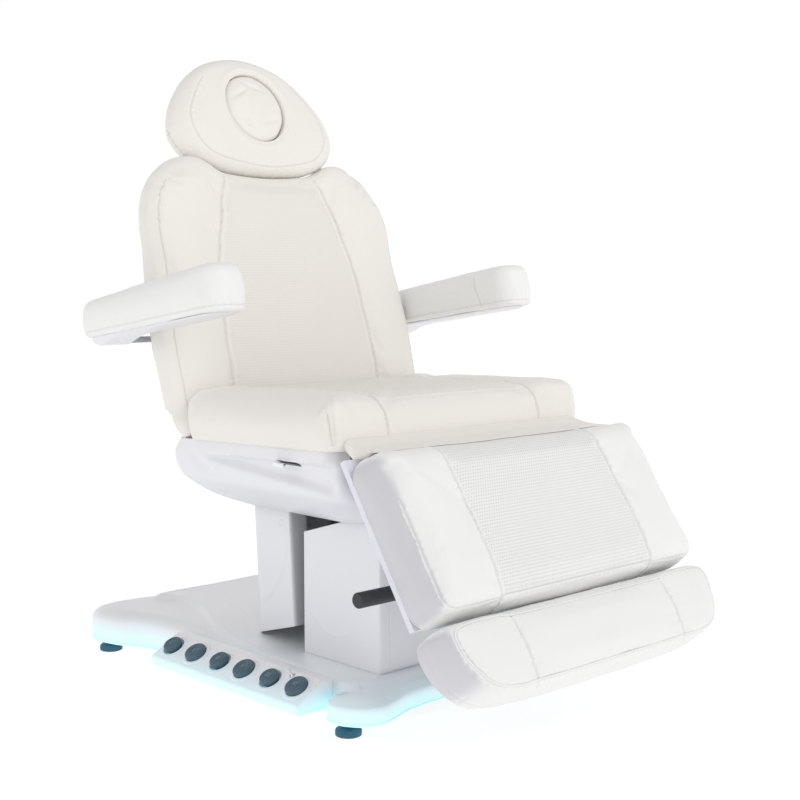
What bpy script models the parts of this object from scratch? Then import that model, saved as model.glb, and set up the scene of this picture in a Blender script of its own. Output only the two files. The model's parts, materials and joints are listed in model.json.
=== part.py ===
"""Electric facial treatment bed with a three-motor base, a manual leg rest and a sliding foot pad.

Units are metres and +Z is up. The bed's head end is at +Y and its foot end at -Y, and X = 0 is its
middle plane. Side views are described as (y, z) pairs. They are measured from the crease between
seat and backrest, and place_on_origin() moves the whole bed by ORIGIN_SHIFT at the end, so that
the origin is on the floor under the middle of the bed's box.
"""
from math import cos, pi, radians, sin

import bmesh
import bpy
from mathutils import Vector

# ---- Driving dimensions ----------------------------------------------------------------------
ORIGIN_SHIFT = 0.21374         # crease line's y in the finished frame
GAP = 0.0003                   # between neighbours that touch

# Base
FOOT_X = 0.305
FOOT_FRONT_Y = -0.458
FOOT_REAR_Y = 0.350
FOOT_RADIUS = 0.025
BEAM_BOTTOM = 0.030
BEAM_TOP = 0.062
COLUMN_PLATE_TOP = 0.070
COVER_LIP_Z = 0.018
COVER_FRONT_TOP = 0.085
COVER_REAR_TOP = 0.108
COVER_WALL = 0.004

# Foot controls, on the occupant's right
PEDAL_COUNT = 6
PEDAL_FIRST_Y = 0.032
PEDAL_PITCH = 0.080
PEDAL_RADIUS = 0.022
PEDAL_TILT = radians(30.0)
PEDAL_X = -0.352
PEDAL_SEAT_Z = 0.078

# Lifting column
COLUMN_Y = -0.310
COLUMN_TOP = 0.335
LIFT_PLATE_Z = 0.360

# Joint axes in (y, z)
TILT_AXIS = (-0.080, 0.420)
BACK_AXIS = (0.060, 0.515)
LEG_AXIS = (-0.497, 0.490)
ARM_AXIS = (0.147, 0.700)

# Upholstery
SEAT_HALF_WIDTH = 0.345
LEG_HALF_WIDTH = 0.360
BACK_RECLINE = radians(15.5)
HEAD_RECLINE = radians(21.5)
LEG_SLOPE = radians(57.0)
ARM_RISE = radians(8.3)
BACK_THICKNESS = 0.075
CUSHION_THICKNESS = 0.093
BOARD = 0.012

# Tilt crank and back lever, each moved by a slotted rod end
TILT_CRANK = 0.130
BACK_LEVER = 0.075
BACK_LEVER_X = 0.150
BACK_LEVER_ANGLE = radians(37.0)


# ---- Side-view frames ------------------------------------------------------------------------
class Plane:
    """A tilted side view: along() runs up or down the upholstery and out() points to the user."""

    def __init__(self, origin, along, out):
        self.origin = origin
        self.along = along
        self.out = out

    def at(self, distance, height):
        y = self.origin[0] + distance * self.along[0] + height * self.out[0]
        z = self.origin[1] + distance * self.along[1] + height * self.out[1]
        return (y, z)

    def local(self, y, z):
        dy = y - self.origin[0]
        dz = z - self.origin[1]
        return (dy * self.along[0] + dz * self.along[1], dy * self.out[0] + dz * self.out[1])

    def point(self, x, distance, height):
        return Vector((x, *self.at(distance, height)))


def leaning_plane(origin, recline):
    return Plane(origin, (sin(recline), cos(recline)), (-cos(recline), sin(recline)))


BACK = leaning_plane((-0.0085, 0.515), BACK_RECLINE)
HEAD = leaning_plane(BACK.at(0.580, 0.0), HEAD_RECLINE)
LEG = Plane((-0.495, 0.512), (-cos(LEG_SLOPE), -sin(LEG_SLOPE)), (-sin(LEG_SLOPE), cos(LEG_SLOPE)))
ARM = Plane((0.215, 0.716), (-cos(ARM_RISE), sin(ARM_RISE)), (sin(ARM_RISE), cos(ARM_RISE)))
HEAD_AXIS = HEAD.at(0.060, -0.105)
ROD_DEPTH = BACK.local(*HEAD_AXIS)[1]


# ---- Materials -------------------------------------------------------------------------------
def material(name, colour, roughness, metallic=0.0):
    new = bpy.data.materials.new(name)
    new.use_nodes = True
    shader = new.node_tree.nodes["Principled BSDF"]
    shader.inputs["Base Color"].default_value = (*colour, 1.0)
    shader.inputs["Roughness"].default_value = roughness
    shader.inputs["Metallic"].default_value = metallic
    new.diffuse_color = (*colour, 1.0)
    return new


for old in list(bpy.data.objects):
    bpy.data.objects.remove(old, do_unlink=True)

LEATHER = material("cream_leatherette", (0.86, 0.83, 0.78), 0.45)
PLASTIC = material("white_plastic", (0.82, 0.82, 0.85), 0.35)
STEEL = material("painted_steel", (0.55, 0.56, 0.58), 0.45, 0.6)
CHROME = material("chrome", (0.80, 0.80, 0.82), 0.12, 1.0)
RUBBER = material("black_rubber", (0.03, 0.03, 0.035), 0.7)
SLATE = material("slate_button", (0.07, 0.13, 0.18), 0.4)
MOTOR = material("motor_black", (0.06, 0.06, 0.065), 0.5)
GLOW = material("led_strip", (0.45, 0.95, 1.0), 0.3)
WOOD = material("board_white", (0.78, 0.78, 0.84), 0.5)


# ---- Building blocks -------------------------------------------------------------------------
def make(name, verts, faces, mat, pivot=(0.0, 0.0, 0.0), smooth=False):
    """Object from world points, with its own origin at pivot."""
    pivot = Vector(pivot)
    mesh = bpy.data.meshes.new(name)
    mesh.from_pydata([Vector(v) - pivot for v in verts], [], faces)
    bm = bmesh.new()
    bm.from_mesh(mesh)
    bmesh.ops.recalc_face_normals(bm, faces=bm.faces)
    bm.to_mesh(mesh)
    bm.free()
    mesh.materials.append(mat)
    if smooth:
        mesh.shade_smooth()
        mesh.set_sharp_from_angle(angle=radians(35.0))
    ob = bpy.data.objects.new(name, mesh)
    ob.location = pivot
    bpy.context.scene.collection.objects.link(ob)
    return ob


def prism(name, bottom, top, mat, pivot=(0.0, 0.0, 0.0), smooth=False):
    """Solid between two matching closed outlines of world points."""
    count = len(bottom)
    faces = [tuple(range(count)), tuple(range(count, 2 * count))]
    for i in range(count):
        j = (i + 1) % count
        faces.append((i, j, count + j, count + i))
    return make(name, list(bottom) + list(top), faces, mat, pivot, smooth)


def side_prism(name, outline, x0, x1, mat, pivot=(0.0, 0.0, 0.0), smooth=False):
    """A (y, z) outline extruded across the bed from x0 to x1."""
    left = [(x0, y, z) for y, z in outline]
    right = [(x1, y, z) for y, z in outline]
    return prism(name, left, right, mat, pivot, smooth)


def plan_prism(name, outline, z0, z1, mat, pivot=(0.0, 0.0, 0.0), smooth=False):
    """An (x, y) outline extruded upwards from z0 to z1."""
    low = [(x, y, z0) for x, y in outline]
    high = [(x, y, z1) for x, y in outline]
    return prism(name, low, high, mat, pivot, smooth)


def block(name, xs, ys, zs, mat, pivot=(0.0, 0.0, 0.0), edge=0.0):
    outline = [(xs[0], ys[0]), (xs[1], ys[0]), (xs[1], ys[1]), (xs[0], ys[1])]
    ob = plan_prism(name, outline, zs[0], zs[1], mat, pivot)
    if edge:
        round_edges(ob, edge, 2)
    return ob


def round_edges(ob, width, segments):
    bevel = ob.modifiers.new("rounded_edges", "BEVEL")
    bevel.width = width
    bevel.segments = segments
    bevel.limit_method = "ANGLE"
    bevel.angle_limit = radians(40.0)
    return bevel


def axis_frame(direction):
    """Rotation that turns +Z onto direction."""
    return Vector((0.0, 0.0, 1.0)).rotation_difference(Vector(direction)).to_matrix()


def turned(name, profile, centre, direction, mat, pivot=None, steps=16):
    """Solid of revolution from (radius, height) pairs, the first and last of radius 0."""
    frame = axis_frame(direction)
    centre = Vector(centre)
    verts = [centre + frame @ Vector((0.0, 0.0, profile[0][1]))]
    for radius, height in profile[1:-1]:
        for k in range(steps):
            angle = 2.0 * pi * k / steps
            verts.append(centre + frame @ Vector((radius * cos(angle), radius * sin(angle), height)))
    verts.append(centre + frame @ Vector((0.0, 0.0, profile[-1][1])))
    rings = len(profile) - 2
    faces = [(0, 1 + k, 1 + (k + 1) % steps) for k in range(steps)]
    for ring in range(rings - 1):
        a = 1 + ring * steps
        for k in range(steps):
            n = (k + 1) % steps
            faces.append((a + k, a + n, a + steps + n, a + steps + k))
    last = 1 + (rings - 1) * steps
    faces += [(last + k, len(verts) - 1, last + (k + 1) % steps) for k in range(steps)]
    return make(name, verts, faces, mat, centre if pivot is None else pivot, smooth=True)


def rod(name, start, end, radius, mat, pivot=None, steps=16):
    start = Vector(start)
    span = Vector(end) - start
    length = span.length
    profile = [(0.0, 0.0), (radius, 0.0), (radius, length), (0.0, length)]
    return turned(name, profile, start, span, mat, start if pivot is None else pivot, steps)


def modify(ob, tool, operation):
    """Cuts ob by tool or joins tool to it; the tool itself is left out of the model."""
    boolean = ob.modifiers.new(tool.name, "BOOLEAN")
    boolean.operation = operation
    boolean.object = tool
    boolean.solver = "EXACT"
    tool.hide_render = True
    tool.display_type = "WIRE"
    tool.name = "tool_" + tool.name
    return ob


def cut(ob, tool):
    return modify(ob, tool, "DIFFERENCE")


def weld(ob, *tools):
    for tool in tools:
        modify(ob, tool, "UNION")
    return ob


def bore(ob, start, end, radius):
    return cut(ob, rod(ob.name + "_bore", start, end, radius, STEEL))


def across(axis, x):
    """World point on an axis that runs across the bed."""
    return (x, axis[0], axis[1])


def inset_outline(outline, distance):
    """Moves each point of a counter-clockwise (x, y) outline inwards along its normal."""
    result = []
    count = len(outline)
    for i in range(count):
        before = Vector(outline[i - 1])
        after = Vector(outline[(i + 1) % count])
        direction = (after - before).normalized()
        result.append(Vector(outline[i]) + distance * Vector((-direction.y, direction.x)))
    return result


def mirrored(half):
    """Closed counter-clockwise outline from its +X half, given from the front to the rear."""
    return half + [(-x, y) for x, y in reversed(half) if abs(x) > 1e-6]


def blend(t):
    t = min(1.0, max(0.0, t))
    return t * t * (3.0 - 2.0 * t)


# ---- Base ------------------------------------------------------------------------------------
BASE_HALF = [(0.0, -0.495), (0.10, -0.497), (0.19, -0.503), (0.245, -0.521), (0.285, -0.530),
             (0.322, -0.515), (0.344, -0.480), (0.345, -0.450), (0.326, -0.424), (0.300, -0.414),
             (0.295, -0.405), (0.295, -0.160), (0.295, 0.100), (0.298, 0.170), (0.310, 0.220),
             (0.333, 0.265), (0.346, 0.315), (0.344, 0.362), (0.318, 0.398), (0.270, 0.412),
             (0.200, 0.405), (0.100, 0.385), (0.0, 0.378)]


def base_beams():
    reach = FOOT_X + 0.018
    half = 0.021
    block("base_cross_beam_front", (-reach, reach), (FOOT_FRONT_Y - half, FOOT_FRONT_Y + half),
          (BEAM_BOTTOM, BEAM_TOP), STEEL, edge=0.003)
    block("base_cross_beam_rear", (-reach, reach), (FOOT_REAR_Y - half, FOOT_REAR_Y + half),
          (BEAM_BOTTOM, BEAM_TOP), STEEL, edge=0.003)
    block("base_spine", (-0.090, 0.090),
          (FOOT_FRONT_Y + half + GAP, FOOT_REAR_Y - half - GAP), (BEAM_BOTTOM, BEAM_TOP), STEEL,
          edge=0.003)
    for name in ("base_cross_beam_front", "base_cross_beam_rear"):
        beam = bpy.data.objects[name]
        y = FOOT_FRONT_Y if "front" in name else FOOT_REAR_Y
        for x in (-FOOT_X, FOOT_X):
            bore(beam, (x, y, BEAM_BOTTOM - 0.01), (x, y, BEAM_TOP - 0.004), 0.0063)
    weld(bpy.data.objects["base_spine"],
         block("column_plate", (-0.180, 0.180), (-0.405, -0.220), (BEAM_TOP - 0.004, COLUMN_PLATE_TOP),
               STEEL))


def levelling_feet():
    for end, y in (("front", FOOT_FRONT_Y), ("rear", FOOT_REAR_Y)):
        for side, x in (("right", -FOOT_X), ("left", FOOT_X)):
            profile = [(0.0, 0.0), (FOOT_RADIUS - 0.002, 0.0), (FOOT_RADIUS, 0.003), (FOOT_RADIUS, 0.010),
                       (FOOT_RADIUS - 0.005, 0.016), (0.009, 0.018), (0.006, 0.020), (0.006, 0.050),
                       (0.0, 0.050)]
            turned(f"levelling_foot_{end}_{side}", profile, (x, y, 0.0), (0, 0, 1), RUBBER)


def cover_top(y):
    return COVER_FRONT_TOP + (COVER_REAR_TOP - COVER_FRONT_TOP) * blend((y + 0.18) / 0.30)


def base_cover():
    """Moulded cover over the beams: a wall with a crowned top, open below."""
    outline = mirrored(BASE_HALF)
    levels = [(0.0, COVER_LIP_Z, 0.0), (0.0, 0.0, -0.026), (0.006, 0.0, -0.012), (0.020, 0.0, -0.003),
              (0.045, 0.0, 0.0)]
    verts = []
    for distance, fixed, below in levels:
        for x, y in inset_outline(outline, distance):
            verts.append((x, y, fixed if fixed else cover_top(y) + below))
    count = len(outline)
    faces = []
    for ring in range(len(levels) - 1):
        for i in range(count):
            j = (i + 1) % count
            a = ring * count
            faces.append((a + i, a + j, a + count + j, a + count + i))
    ob = make("base_cover", verts, faces, PLASTIC, smooth=True)
    mesh = ob.data
    bm = bmesh.new()
    bm.from_mesh(mesh)
    rim = [e for e in bm.edges if e.is_boundary and min(v.co.z for v in e.verts) > 0.05]
    bmesh.ops.triangle_fill(bm, use_beauty=True, edges=rim)
    bmesh.ops.recalc_face_normals(bm, faces=bm.faces)
    if sum(f.normal.z for f in bm.faces if abs(f.normal.z) > 0.9) < 0.0:
        bmesh.ops.reverse_faces(bm, faces=bm.faces)
    bm.to_mesh(mesh)
    bm.free()
    shell = ob.modifiers.new("wall", "SOLIDIFY")
    shell.thickness = COVER_WALL
    shell.offset = -1.0
    cut(ob, block("cover_column_opening", (-0.186, 0.186), (-0.411, -0.214), (0.05, 0.15), STEEL))
    return outline


def led_strip(outline):
    """Closed light strip along the inside of the cover's lip."""
    outer = inset_outline(outline, COVER_WALL + 0.002)
    inner = inset_outline(outline, COVER_WALL + 0.008)
    count = len(outline)
    verts = []
    for ring, z in ((outer, 0.020), (outer, 0.0265), (inner, 0.0265), (inner, 0.020)):
        verts += [(x, y, z) for x, y in ring]
    faces = []
    for k in range(4):
        for i in range(count):
            j = (i + 1) % count
            a, b = k * count, ((k + 1) % 4) * count
            faces.append((a + i, a + j, b + j, b + i))
    make("led_strip", verts, faces, GLOW)


def pedal_centre(index):
    return Vector((PEDAL_X, PEDAL_FIRST_Y - index * PEDAL_PITCH, PEDAL_SEAT_Z))


PEDAL_AXIS = Vector((-sin(PEDAL_TILT), 0.0, cos(PEDAL_TILT)))


def foot_controls():
    """Sloping control bar with six push buttons and the light switch."""
    y0 = pedal_centre(PEDAL_COUNT - 1).y - 0.036
    y1 = PEDAL_FIRST_Y + 0.036
    inner_x = -0.295 - GAP
    slope = sin(PEDAL_TILT) / cos(PEDAL_TILT)
    ridge_z = PEDAL_SEAT_Z + 0.030 * slope
    outline = [(inner_x, 0.026), (-0.381, 0.026), (-0.389, 0.034), (-0.389, PEDAL_SEAT_Z - 0.037 * slope),
               (PEDAL_X + 0.030, ridge_z), (inner_x, ridge_z)]
    low = [(x, y0, z) for x, z in outline]
    high = [(x, y1, z) for x, z in outline]
    bar = prism("foot_control_bar", low, high, PLASTIC)
    round_edges(bar, 0.004, 2)
    for k in range(PEDAL_COUNT):
        seat = pedal_centre(k)
        cut(bar, rod(f"button_well_{k}", seat - 0.016 * PEDAL_AXIS, seat + 0.03 * PEDAL_AXIS,
                     PEDAL_RADIUS + 0.0012, PLASTIC))
        profile = [(0.0, -0.006), (0.017, -0.006), (0.017, -0.001), (PEDAL_RADIUS, 0.0),
                   (PEDAL_RADIUS, 0.008),
                   (PEDAL_RADIUS - 0.004, 0.012), (0.012, 0.013), (0.0, 0.0125)]
        turned(f"foot_button_{k + 1}", profile, seat, PEDAL_AXIS, SLATE)
    hub = toggle_hub()
    bore(bar, hub - 0.010 * PEDAL_AXIS, hub + 0.02 * PEDAL_AXIS, 0.0062)
    toggle = [(0.0, -0.004), (0.0042, -0.003), (0.0050, 0.0), (0.0022, 0.003), (0.0020, 0.014),
              (0.0030, 0.018),
              (0.0, 0.019)]
    turned("light_switch_toggle", toggle, hub, PEDAL_AXIS, CHROME, steps=12)


def toggle_hub():
    """The switch sits above the gap between the last two buttons, near the bar's inner edge."""
    seat = pedal_centre(PEDAL_COUNT - 1)
    slope = Vector((cos(PEDAL_TILT), 0.0, sin(PEDAL_TILT)))
    return seat + Vector((0.0, 0.5 * PEDAL_PITCH, 0.0)) + 0.024 * slope


def power_inlet():
    ob = block("power_inlet", (-0.026, 0.026), (0.3802, 0.3920), (0.036, 0.070), MOTOR, edge=0.002)
    cut(ob, block("inlet_recess", (-0.016, 0.016), (0.384, 0.400), (0.044, 0.062), MOTOR))
    cut(ob, block("inlet_recess_blade", (-0.010, 0.010), (0.3815, 0.400), (0.048, 0.058), MOTOR))


# ---- Columns and lift ------------------------------------------------------------------------
def square_tube(name, half_x, half_y, wall, z0, z1, mat, y=COLUMN_Y):
    ob = block(name, (-half_x, half_x), (y - half_y, y + half_y), (z0, z1), mat)
    return cut(ob, block(name + "_inside", (wall - half_x, half_x - wall),
                         (y - half_y + wall, y + half_y - wall), (z0 - 0.01, z1 + 0.01), mat))


def lift_column():
    square_tube("lift_column_outer", 0.080, 0.060, 0.005, COLUMN_PLATE_TOP + GAP, COLUMN_TOP, STEEL)
    square_tube("lift_column_middle", 0.0742, 0.0542, 0.005, 0.076, COLUMN_TOP + 0.006, STEEL)
    square_tube("lift_column_inner", 0.0684, 0.0484, 0.005, 0.080, LIFT_PLATE_Z - GAP, STEEL)
    profile = [(0.0, 0.0), (0.034, 0.0), (0.034, 0.120), (0.028, 0.128), (0.0, 0.128)]
    turned("lift_motor", profile, (0.125, -0.315, COLUMN_PLATE_TOP + GAP), (0, 0, 1), MOTOR)
    block("control_box", (-0.172, -0.095), (-0.385, -0.240), (COLUMN_PLATE_TOP + GAP, 0.150), MOTOR,
          edge=0.004)


def lift_carriage():
    """Plate on the inner column with two lugs for the tilt pin."""
    y, z = TILT_AXIS
    ob = block("lift_carriage", (-0.100, 0.100), (-0.375, y + 0.025),
               (LIFT_PLATE_Z, LIFT_PLATE_Z + 0.010), STEEL)
    for k, x in enumerate((-0.090, 0.090)):
        lug = [(y - 0.040, LIFT_PLATE_Z + 0.004), (y + 0.022, LIFT_PLATE_Z + 0.004),
               (y + 0.016, z + 0.010),
               (y + 0.008, z + 0.016), (y - 0.008, z + 0.016), (y - 0.016, z + 0.010)]
        weld(ob, side_prism(f"carriage_lug_{k}", lug, x - 0.005, x + 0.005, STEEL))
    bore(ob, across(TILT_AXIS, -0.12), across(TILT_AXIS, 0.12), 0.0083)
    cut(ob, block("carriage_crank_slot", (-0.030, 0.030), (y - 0.055, y + 0.04), (0.34, 0.40), STEEL))
    rod("tilt_pin", across(TILT_AXIS, -0.105), across(TILT_AXIS, 0.105), 0.008, STEEL)


def tilt_drive():
    """Motor under the carriage; its slotted rod end moves the crank under the seat frame."""
    y, z = TILT_AXIS[0], TILT_AXIS[1] - TILT_CRANK
    tail = -0.238
    profile = [(0.0, 0.0), (0.020, 0.0), (0.022, 0.004), (0.022, 0.082), (0.016, 0.086), (0.0, 0.086)]
    body = turned("tilt_actuator_body", profile, (0.0, tail, z), (0, 1, 0), MOTOR)
    weld(body, block("tilt_hanger", (-0.014, 0.014), (tail + 0.006, tail + 0.060),
                     (z + 0.010, LIFT_PLATE_Z - GAP), MOTOR))
    bore(body, (0.0, tail + 0.030, z), (0.0, tail + 0.10, z), 0.0093)
    ob = rod("tilt_actuator_rod", (0.0, tail + 0.0565, z), (0.0, y - 0.022, z), 0.009, CHROME)
    weld(ob, block("tilt_yoke", (-0.0168, -0.0088), (y - 0.026, y + 0.016), (z - 0.020, z + 0.020),
                   CHROME),
         block("tilt_yoke_root", (-0.0168, 0.006), (y - 0.034, y - 0.020), (z - 0.010, z + 0.010),
               CHROME))
    cut(ob, block("tilt_yoke_slot", (-0.03, 0.0), (y - 0.0075, y + 0.0075), (z - 0.011, z + 0.011),
                  CHROME))


def column_cover(half, y_open, y_closed, wall, lip):
    """Plan outline of a U-shaped cover, open at y_open, with inward lips of the given width."""
    toward = 1.0 if y_closed > y_open else -1.0
    corner = 0.020
    outline = [(half - lip, y_open), (half, y_open)]
    outline += [(half - corner + corner * sin(a), y_closed - toward * corner * (1.0 - cos(a)))
                for a in [radians(90.0 - 22.5 * k) for k in range(5)]]
    outline = outline + [(-x, y) for x, y in reversed(outline)]
    inner = [(half - lip, y_open + toward * wall), (half - wall, y_open + toward * wall)]
    r = corner - wall
    inner += [(half - corner + r * sin(a), y_closed - toward * (wall + r * (1.0 - cos(a))))
              for a in [radians(90.0 - 22.5 * k) for k in range(5)]]
    inner = inner + [(-x, y) for x, y in reversed(inner)]
    return outline + list(reversed(inner))


def front_column_cover():
    """Fixed cover; its top slopes up to the front, and its rear is open."""
    outline = column_cover(0.200, -0.205, -0.431, COVER_WALL, COVER_WALL + 0.006)
    low = [(x, y, COVER_FRONT_TOP + GAP) for x, y in outline]
    high = [(x, y, 0.331 + (-0.205 - y) * 0.30) for x, y in outline]
    prism("front_column_cover", low, high, PLASTIC, smooth=True)


def rear_column_cover():
    """Cover that hangs from the seat and moves with it; it leans with the seat's rise."""
    outline = column_cover(0.189, -0.155, -0.036, COVER_WALL, 0.045)

    def lean(x, y, z):
        return (x, y + 0.065 * (z - 0.35), z)

    low = [lean(x, y, 0.099 + (-0.036 - y) * 0.28) for x, y in outline]
    high = [lean(x, y, 0.396) for x, y in outline]
    prism("rear_column_cover", low, high, PLASTIC, pivot=across(TILT_AXIS, 0.0), smooth=True)


# ---- Seat ------------------------------------------------------------------------------------
def seat_frame():
    """Pressed plate with the backrest, leg rest and tilt lugs, and the tilt crank."""
    pivot = across(TILT_AXIS, 0.0)
    z0, z1 = 0.462, 0.474
    ob = block("seat_frame", (-0.270, 0.270), (-0.425, 0.030), (z0, z1), STEEL, pivot)
    by, bz = BACK_AXIS
    ly, lz = LEG_AXIS
    ty, tz = TILT_AXIS
    back_lug = [(-0.015, z0 + 0.003), (0.030, z0 + 0.003), (by + 0.014, bz - 0.012),
                (by + 0.014, bz + 0.009),
                (by + 0.006, bz + 0.014), (by - 0.008, bz + 0.013), (0.020, bz - 0.010),
                (-0.015, z1 + 0.006)]
    leg_lug = [(-0.380, z0 + 0.003), (-0.380, z1 + 0.010), (ly, lz + 0.0093), (ly - 0.0066, lz + 0.0066),
               (ly - 0.0093, lz), (ly - 0.0066, lz - 0.0066), (ly, lz - 0.0093)]
    tilt_lug = [(ty - 0.030, z0 + 0.004), (ty - 0.014, tz - 0.008), (ty - 0.006, tz - 0.014),
                (ty + 0.006, tz - 0.014), (ty + 0.014, tz - 0.008), (ty + 0.030, z0 + 0.004)]
    for side in (-1, 1):
        weld(ob, side_prism(f"back_lug_{side}", back_lug, side * 0.25 - 0.004, side * 0.25 + 0.004,
                            STEEL),
             side_prism(f"leg_lug_{side}", leg_lug, side * 0.26 - 0.004, side * 0.26 + 0.004, STEEL),
             side_prism(f"tilt_lug_{side}", tilt_lug, side * 0.075 - 0.005, side * 0.075 + 0.005, STEEL))
    crank = [(ty - 0.020, z0 + 0.004), (ty - 0.012, tz - TILT_CRANK - 0.010),
             (ty + 0.012, tz - TILT_CRANK - 0.010),
             (ty + 0.020, z0 + 0.004)]
    weld(ob, side_prism("tilt_crank", crank, -0.004, 0.004, STEEL))
    weld(ob, rod("tilt_crank_pin", (-0.026, ty, tz - TILT_CRANK), (0.002, ty, tz - TILT_CRANK), 0.006,
                 STEEL))
    cut(ob, block("frame_lever_slot", (0.112, 0.168), (-0.030, 0.040), (0.44, 0.50), STEEL))
    bore(ob, across(TILT_AXIS, -0.088), across(TILT_AXIS, 0.088), 0.0083)
    for side in (-1, 1):
        bore(ob, across(BACK_AXIS, side * 0.235), across(BACK_AXIS, side * 0.265), 0.0083)
        bore(ob, across(LEG_AXIS, side * 0.245), across(LEG_AXIS, side * 0.275), 0.0063)
    rod("back_hinge_pin", across(BACK_AXIS, -0.262), across(BACK_AXIS, 0.262), 0.008, STEEL)
    rod("leg_hinge_pin", across(LEG_AXIS, -0.272), across(LEG_AXIS, 0.272), 0.006, STEEL)


def rounded_rectangle(x, y0, y1, radius, steps=4):
    points = []
    corners = [(x - radius, y1 - radius, 0), (radius - x, y1 - radius, 90),
               (radius - x, y0 + radius, 180), (x - radius, y0 + radius, 270)]
    for cx, cy, start in corners:
        for k in range(steps + 1):
            angle = radians(start + 90.0 * k / steps)
            points.append((cx + radius * cos(angle), cy + radius * sin(angle)))
    return points


def seat_pan():
    """Moulded tray under the seat: open on top, with notches for the hinges and the lift."""
    levels = [(0.336, -0.437, 0.040, 0.030, 0.510), (0.338, -0.452, 0.062, 0.035, 0.480),
              (0.325, -0.468, 0.066, 0.045, 0.440), (0.300, -0.466, 0.058, 0.055, 0.415),
              (0.262, -0.440, 0.040, 0.060, 0.390), (0.215, -0.400, 0.000, 0.060, 0.370)]
    verts = []
    for half, y0, y1, radius, z in levels:
        verts += [(x, y, z + 0.028 * (0.04 - y) if z > 0.5 else z) for x,
                  y in rounded_rectangle(half, y0, y1, radius)]
    count = len(verts) // len(levels)
    faces = [tuple((len(levels) - 1) * count + i for i in range(count))]
    for ring in range(len(levels) - 1):
        for i in range(count):
            j = (i + 1) % count
            a = ring * count
            faces.append((a + i, a + j, a + count + j, a + count + i))
    ob = make("seat_pan", verts, faces, PLASTIC, pivot=across(TILT_AXIS, 0.0), smooth=True)
    bm = bmesh.new()
    bm.from_mesh(ob.data)
    bottom = min(bm.faces, key=lambda f: f.calc_center_median().z)
    if bottom.normal.z > 0.0:
        bmesh.ops.reverse_faces(bm, faces=bm.faces)
    bm.to_mesh(ob.data)
    bm.free()
    wall = ob.modifiers.new("wall", "SOLIDIFY")
    wall.thickness = COVER_WALL
    wall.offset = -1.0
    cut(ob, block("pan_column_opening", (-0.206, 0.206), (-0.446, -0.010), (0.34, 0.412), PLASTIC))
    cut(ob, block("pan_rear_notch", (-0.285, 0.285), (0.010, 0.10), (0.418, 0.55), PLASTIC))
    cut(ob, block("pan_front_notch", (-0.285, 0.285), (-0.50, -0.41), (0.445, 0.55), PLASTIC))
    cut(ob, block("pan_lever_slot", (-0.36, -0.32), (-0.356, -0.284), (0.487, 0.499), PLASTIC))


def seat_cushion():
    """Plain solid of the seat cushion, rising to the front with the pan."""
    rise = 0.028
    rear_bottom = 0.5135
    outline = [(-0.016, rear_bottom), (-0.010, rear_bottom + 0.030), (0.004, rear_bottom + 0.078),
               (-0.020, rear_bottom + 0.092),
               (-0.440, rear_bottom + 0.440 * rise + 0.092), (-0.462, rear_bottom + 0.460 * rise + 0.070),
               (-0.464, rear_bottom + 0.460 * rise + 0.020), (-0.455, rear_bottom + 0.455 * rise)]
    ob = side_prism("seat_cushion", outline, -SEAT_HALF_WIDTH, SEAT_HALF_WIDTH, LEATHER,
                    across(TILT_AXIS, 0.0), True)
    round_edges(ob, 0.008, 2)


def release_lever():
    """Chrome lever in the pan's right side, on an upright pivot inside the wall."""
    x, y, z = -0.318, -0.300, 0.493
    outline = [(x + 0.008, y + 0.006), (x + 0.008, y - 0.006), (x - 0.030, y - 0.014),
               (x - 0.036, y - 0.040),
               (x - 0.044, y - 0.044), (x - 0.046, y - 0.036), (x - 0.038, y - 0.004),
               (x - 0.030, y + 0.004)]
    plan_prism("release_lever", outline, z - 0.0035, z + 0.0035, CHROME, (x, y, z))


def back_drive():
    """Motor in the pan; its slotted rod end moves the lever on the backrest's hinge tube."""
    z = BACK_AXIS[1] - BACK_LEVER * 0.5 * (1.0 + cos(BACK_LEVER_ANGLE))
    x = BACK_LEVER_X - 0.014
    profile = [(0.0, 0.0), (0.020, 0.0), (0.021, 0.004), (0.021, 0.190), (0.014, 0.196), (0.0, 0.196)]
    tail = -0.300
    pivot = across(TILT_AXIS, 0.0)
    zt = z - 0.012
    body = turned("back_actuator_body", profile, (x, tail, zt), (0, 1, 0), MOTOR, pivot)
    bore(body, (x, tail + 0.050, zt), (x, tail + 0.21, zt), 0.0093)
    end = BACK_AXIS[0] + BACK_LEVER * sin(BACK_LEVER_ANGLE)
    ob = rod("back_actuator_rod", (x, tail + 0.170, zt), (x, end - 0.014, zt), 0.009, CHROME,
             (x, tail, zt))
    weld(ob, block("back_yoke", (x - 0.004, x + 0.004), (end - 0.020, end + 0.018),
                   (z - 0.024, z + 0.024), CHROME))
    cut(ob, block("back_yoke_slot", (x - 0.01, x + 0.01), (end - 0.0085, end + 0.0085),
                  (z - 0.0165, z + 0.0165), CHROME))


# ---- Backrest --------------------------------------------------------------------------------
BACK_HALF = [(0.0, 0.0), (0.300, 0.0), (0.336, 0.010), (0.350, 0.050), (0.356, 0.200), (0.350, 0.320),
             (0.338, 0.440), (0.318, 0.520), (0.285, 0.566), (0.240, 0.594), (0.200, 0.600),
             (0.172, 0.592),
             (0.142, 0.577), (0.100, 0.567), (0.0, 0.562)]


def panel(name, half, plane, n0, n1, mat, pivot, smooth=True):
    """A front-view outline (x, distance along the plane) made solid between two heights."""
    outline = mirrored(half)
    low = [plane.point(x, d, n0) for x, d in outline]
    high = [plane.point(x, d, n1) for x, d in outline]
    return prism(name, low, high, mat, pivot, smooth)


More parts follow.
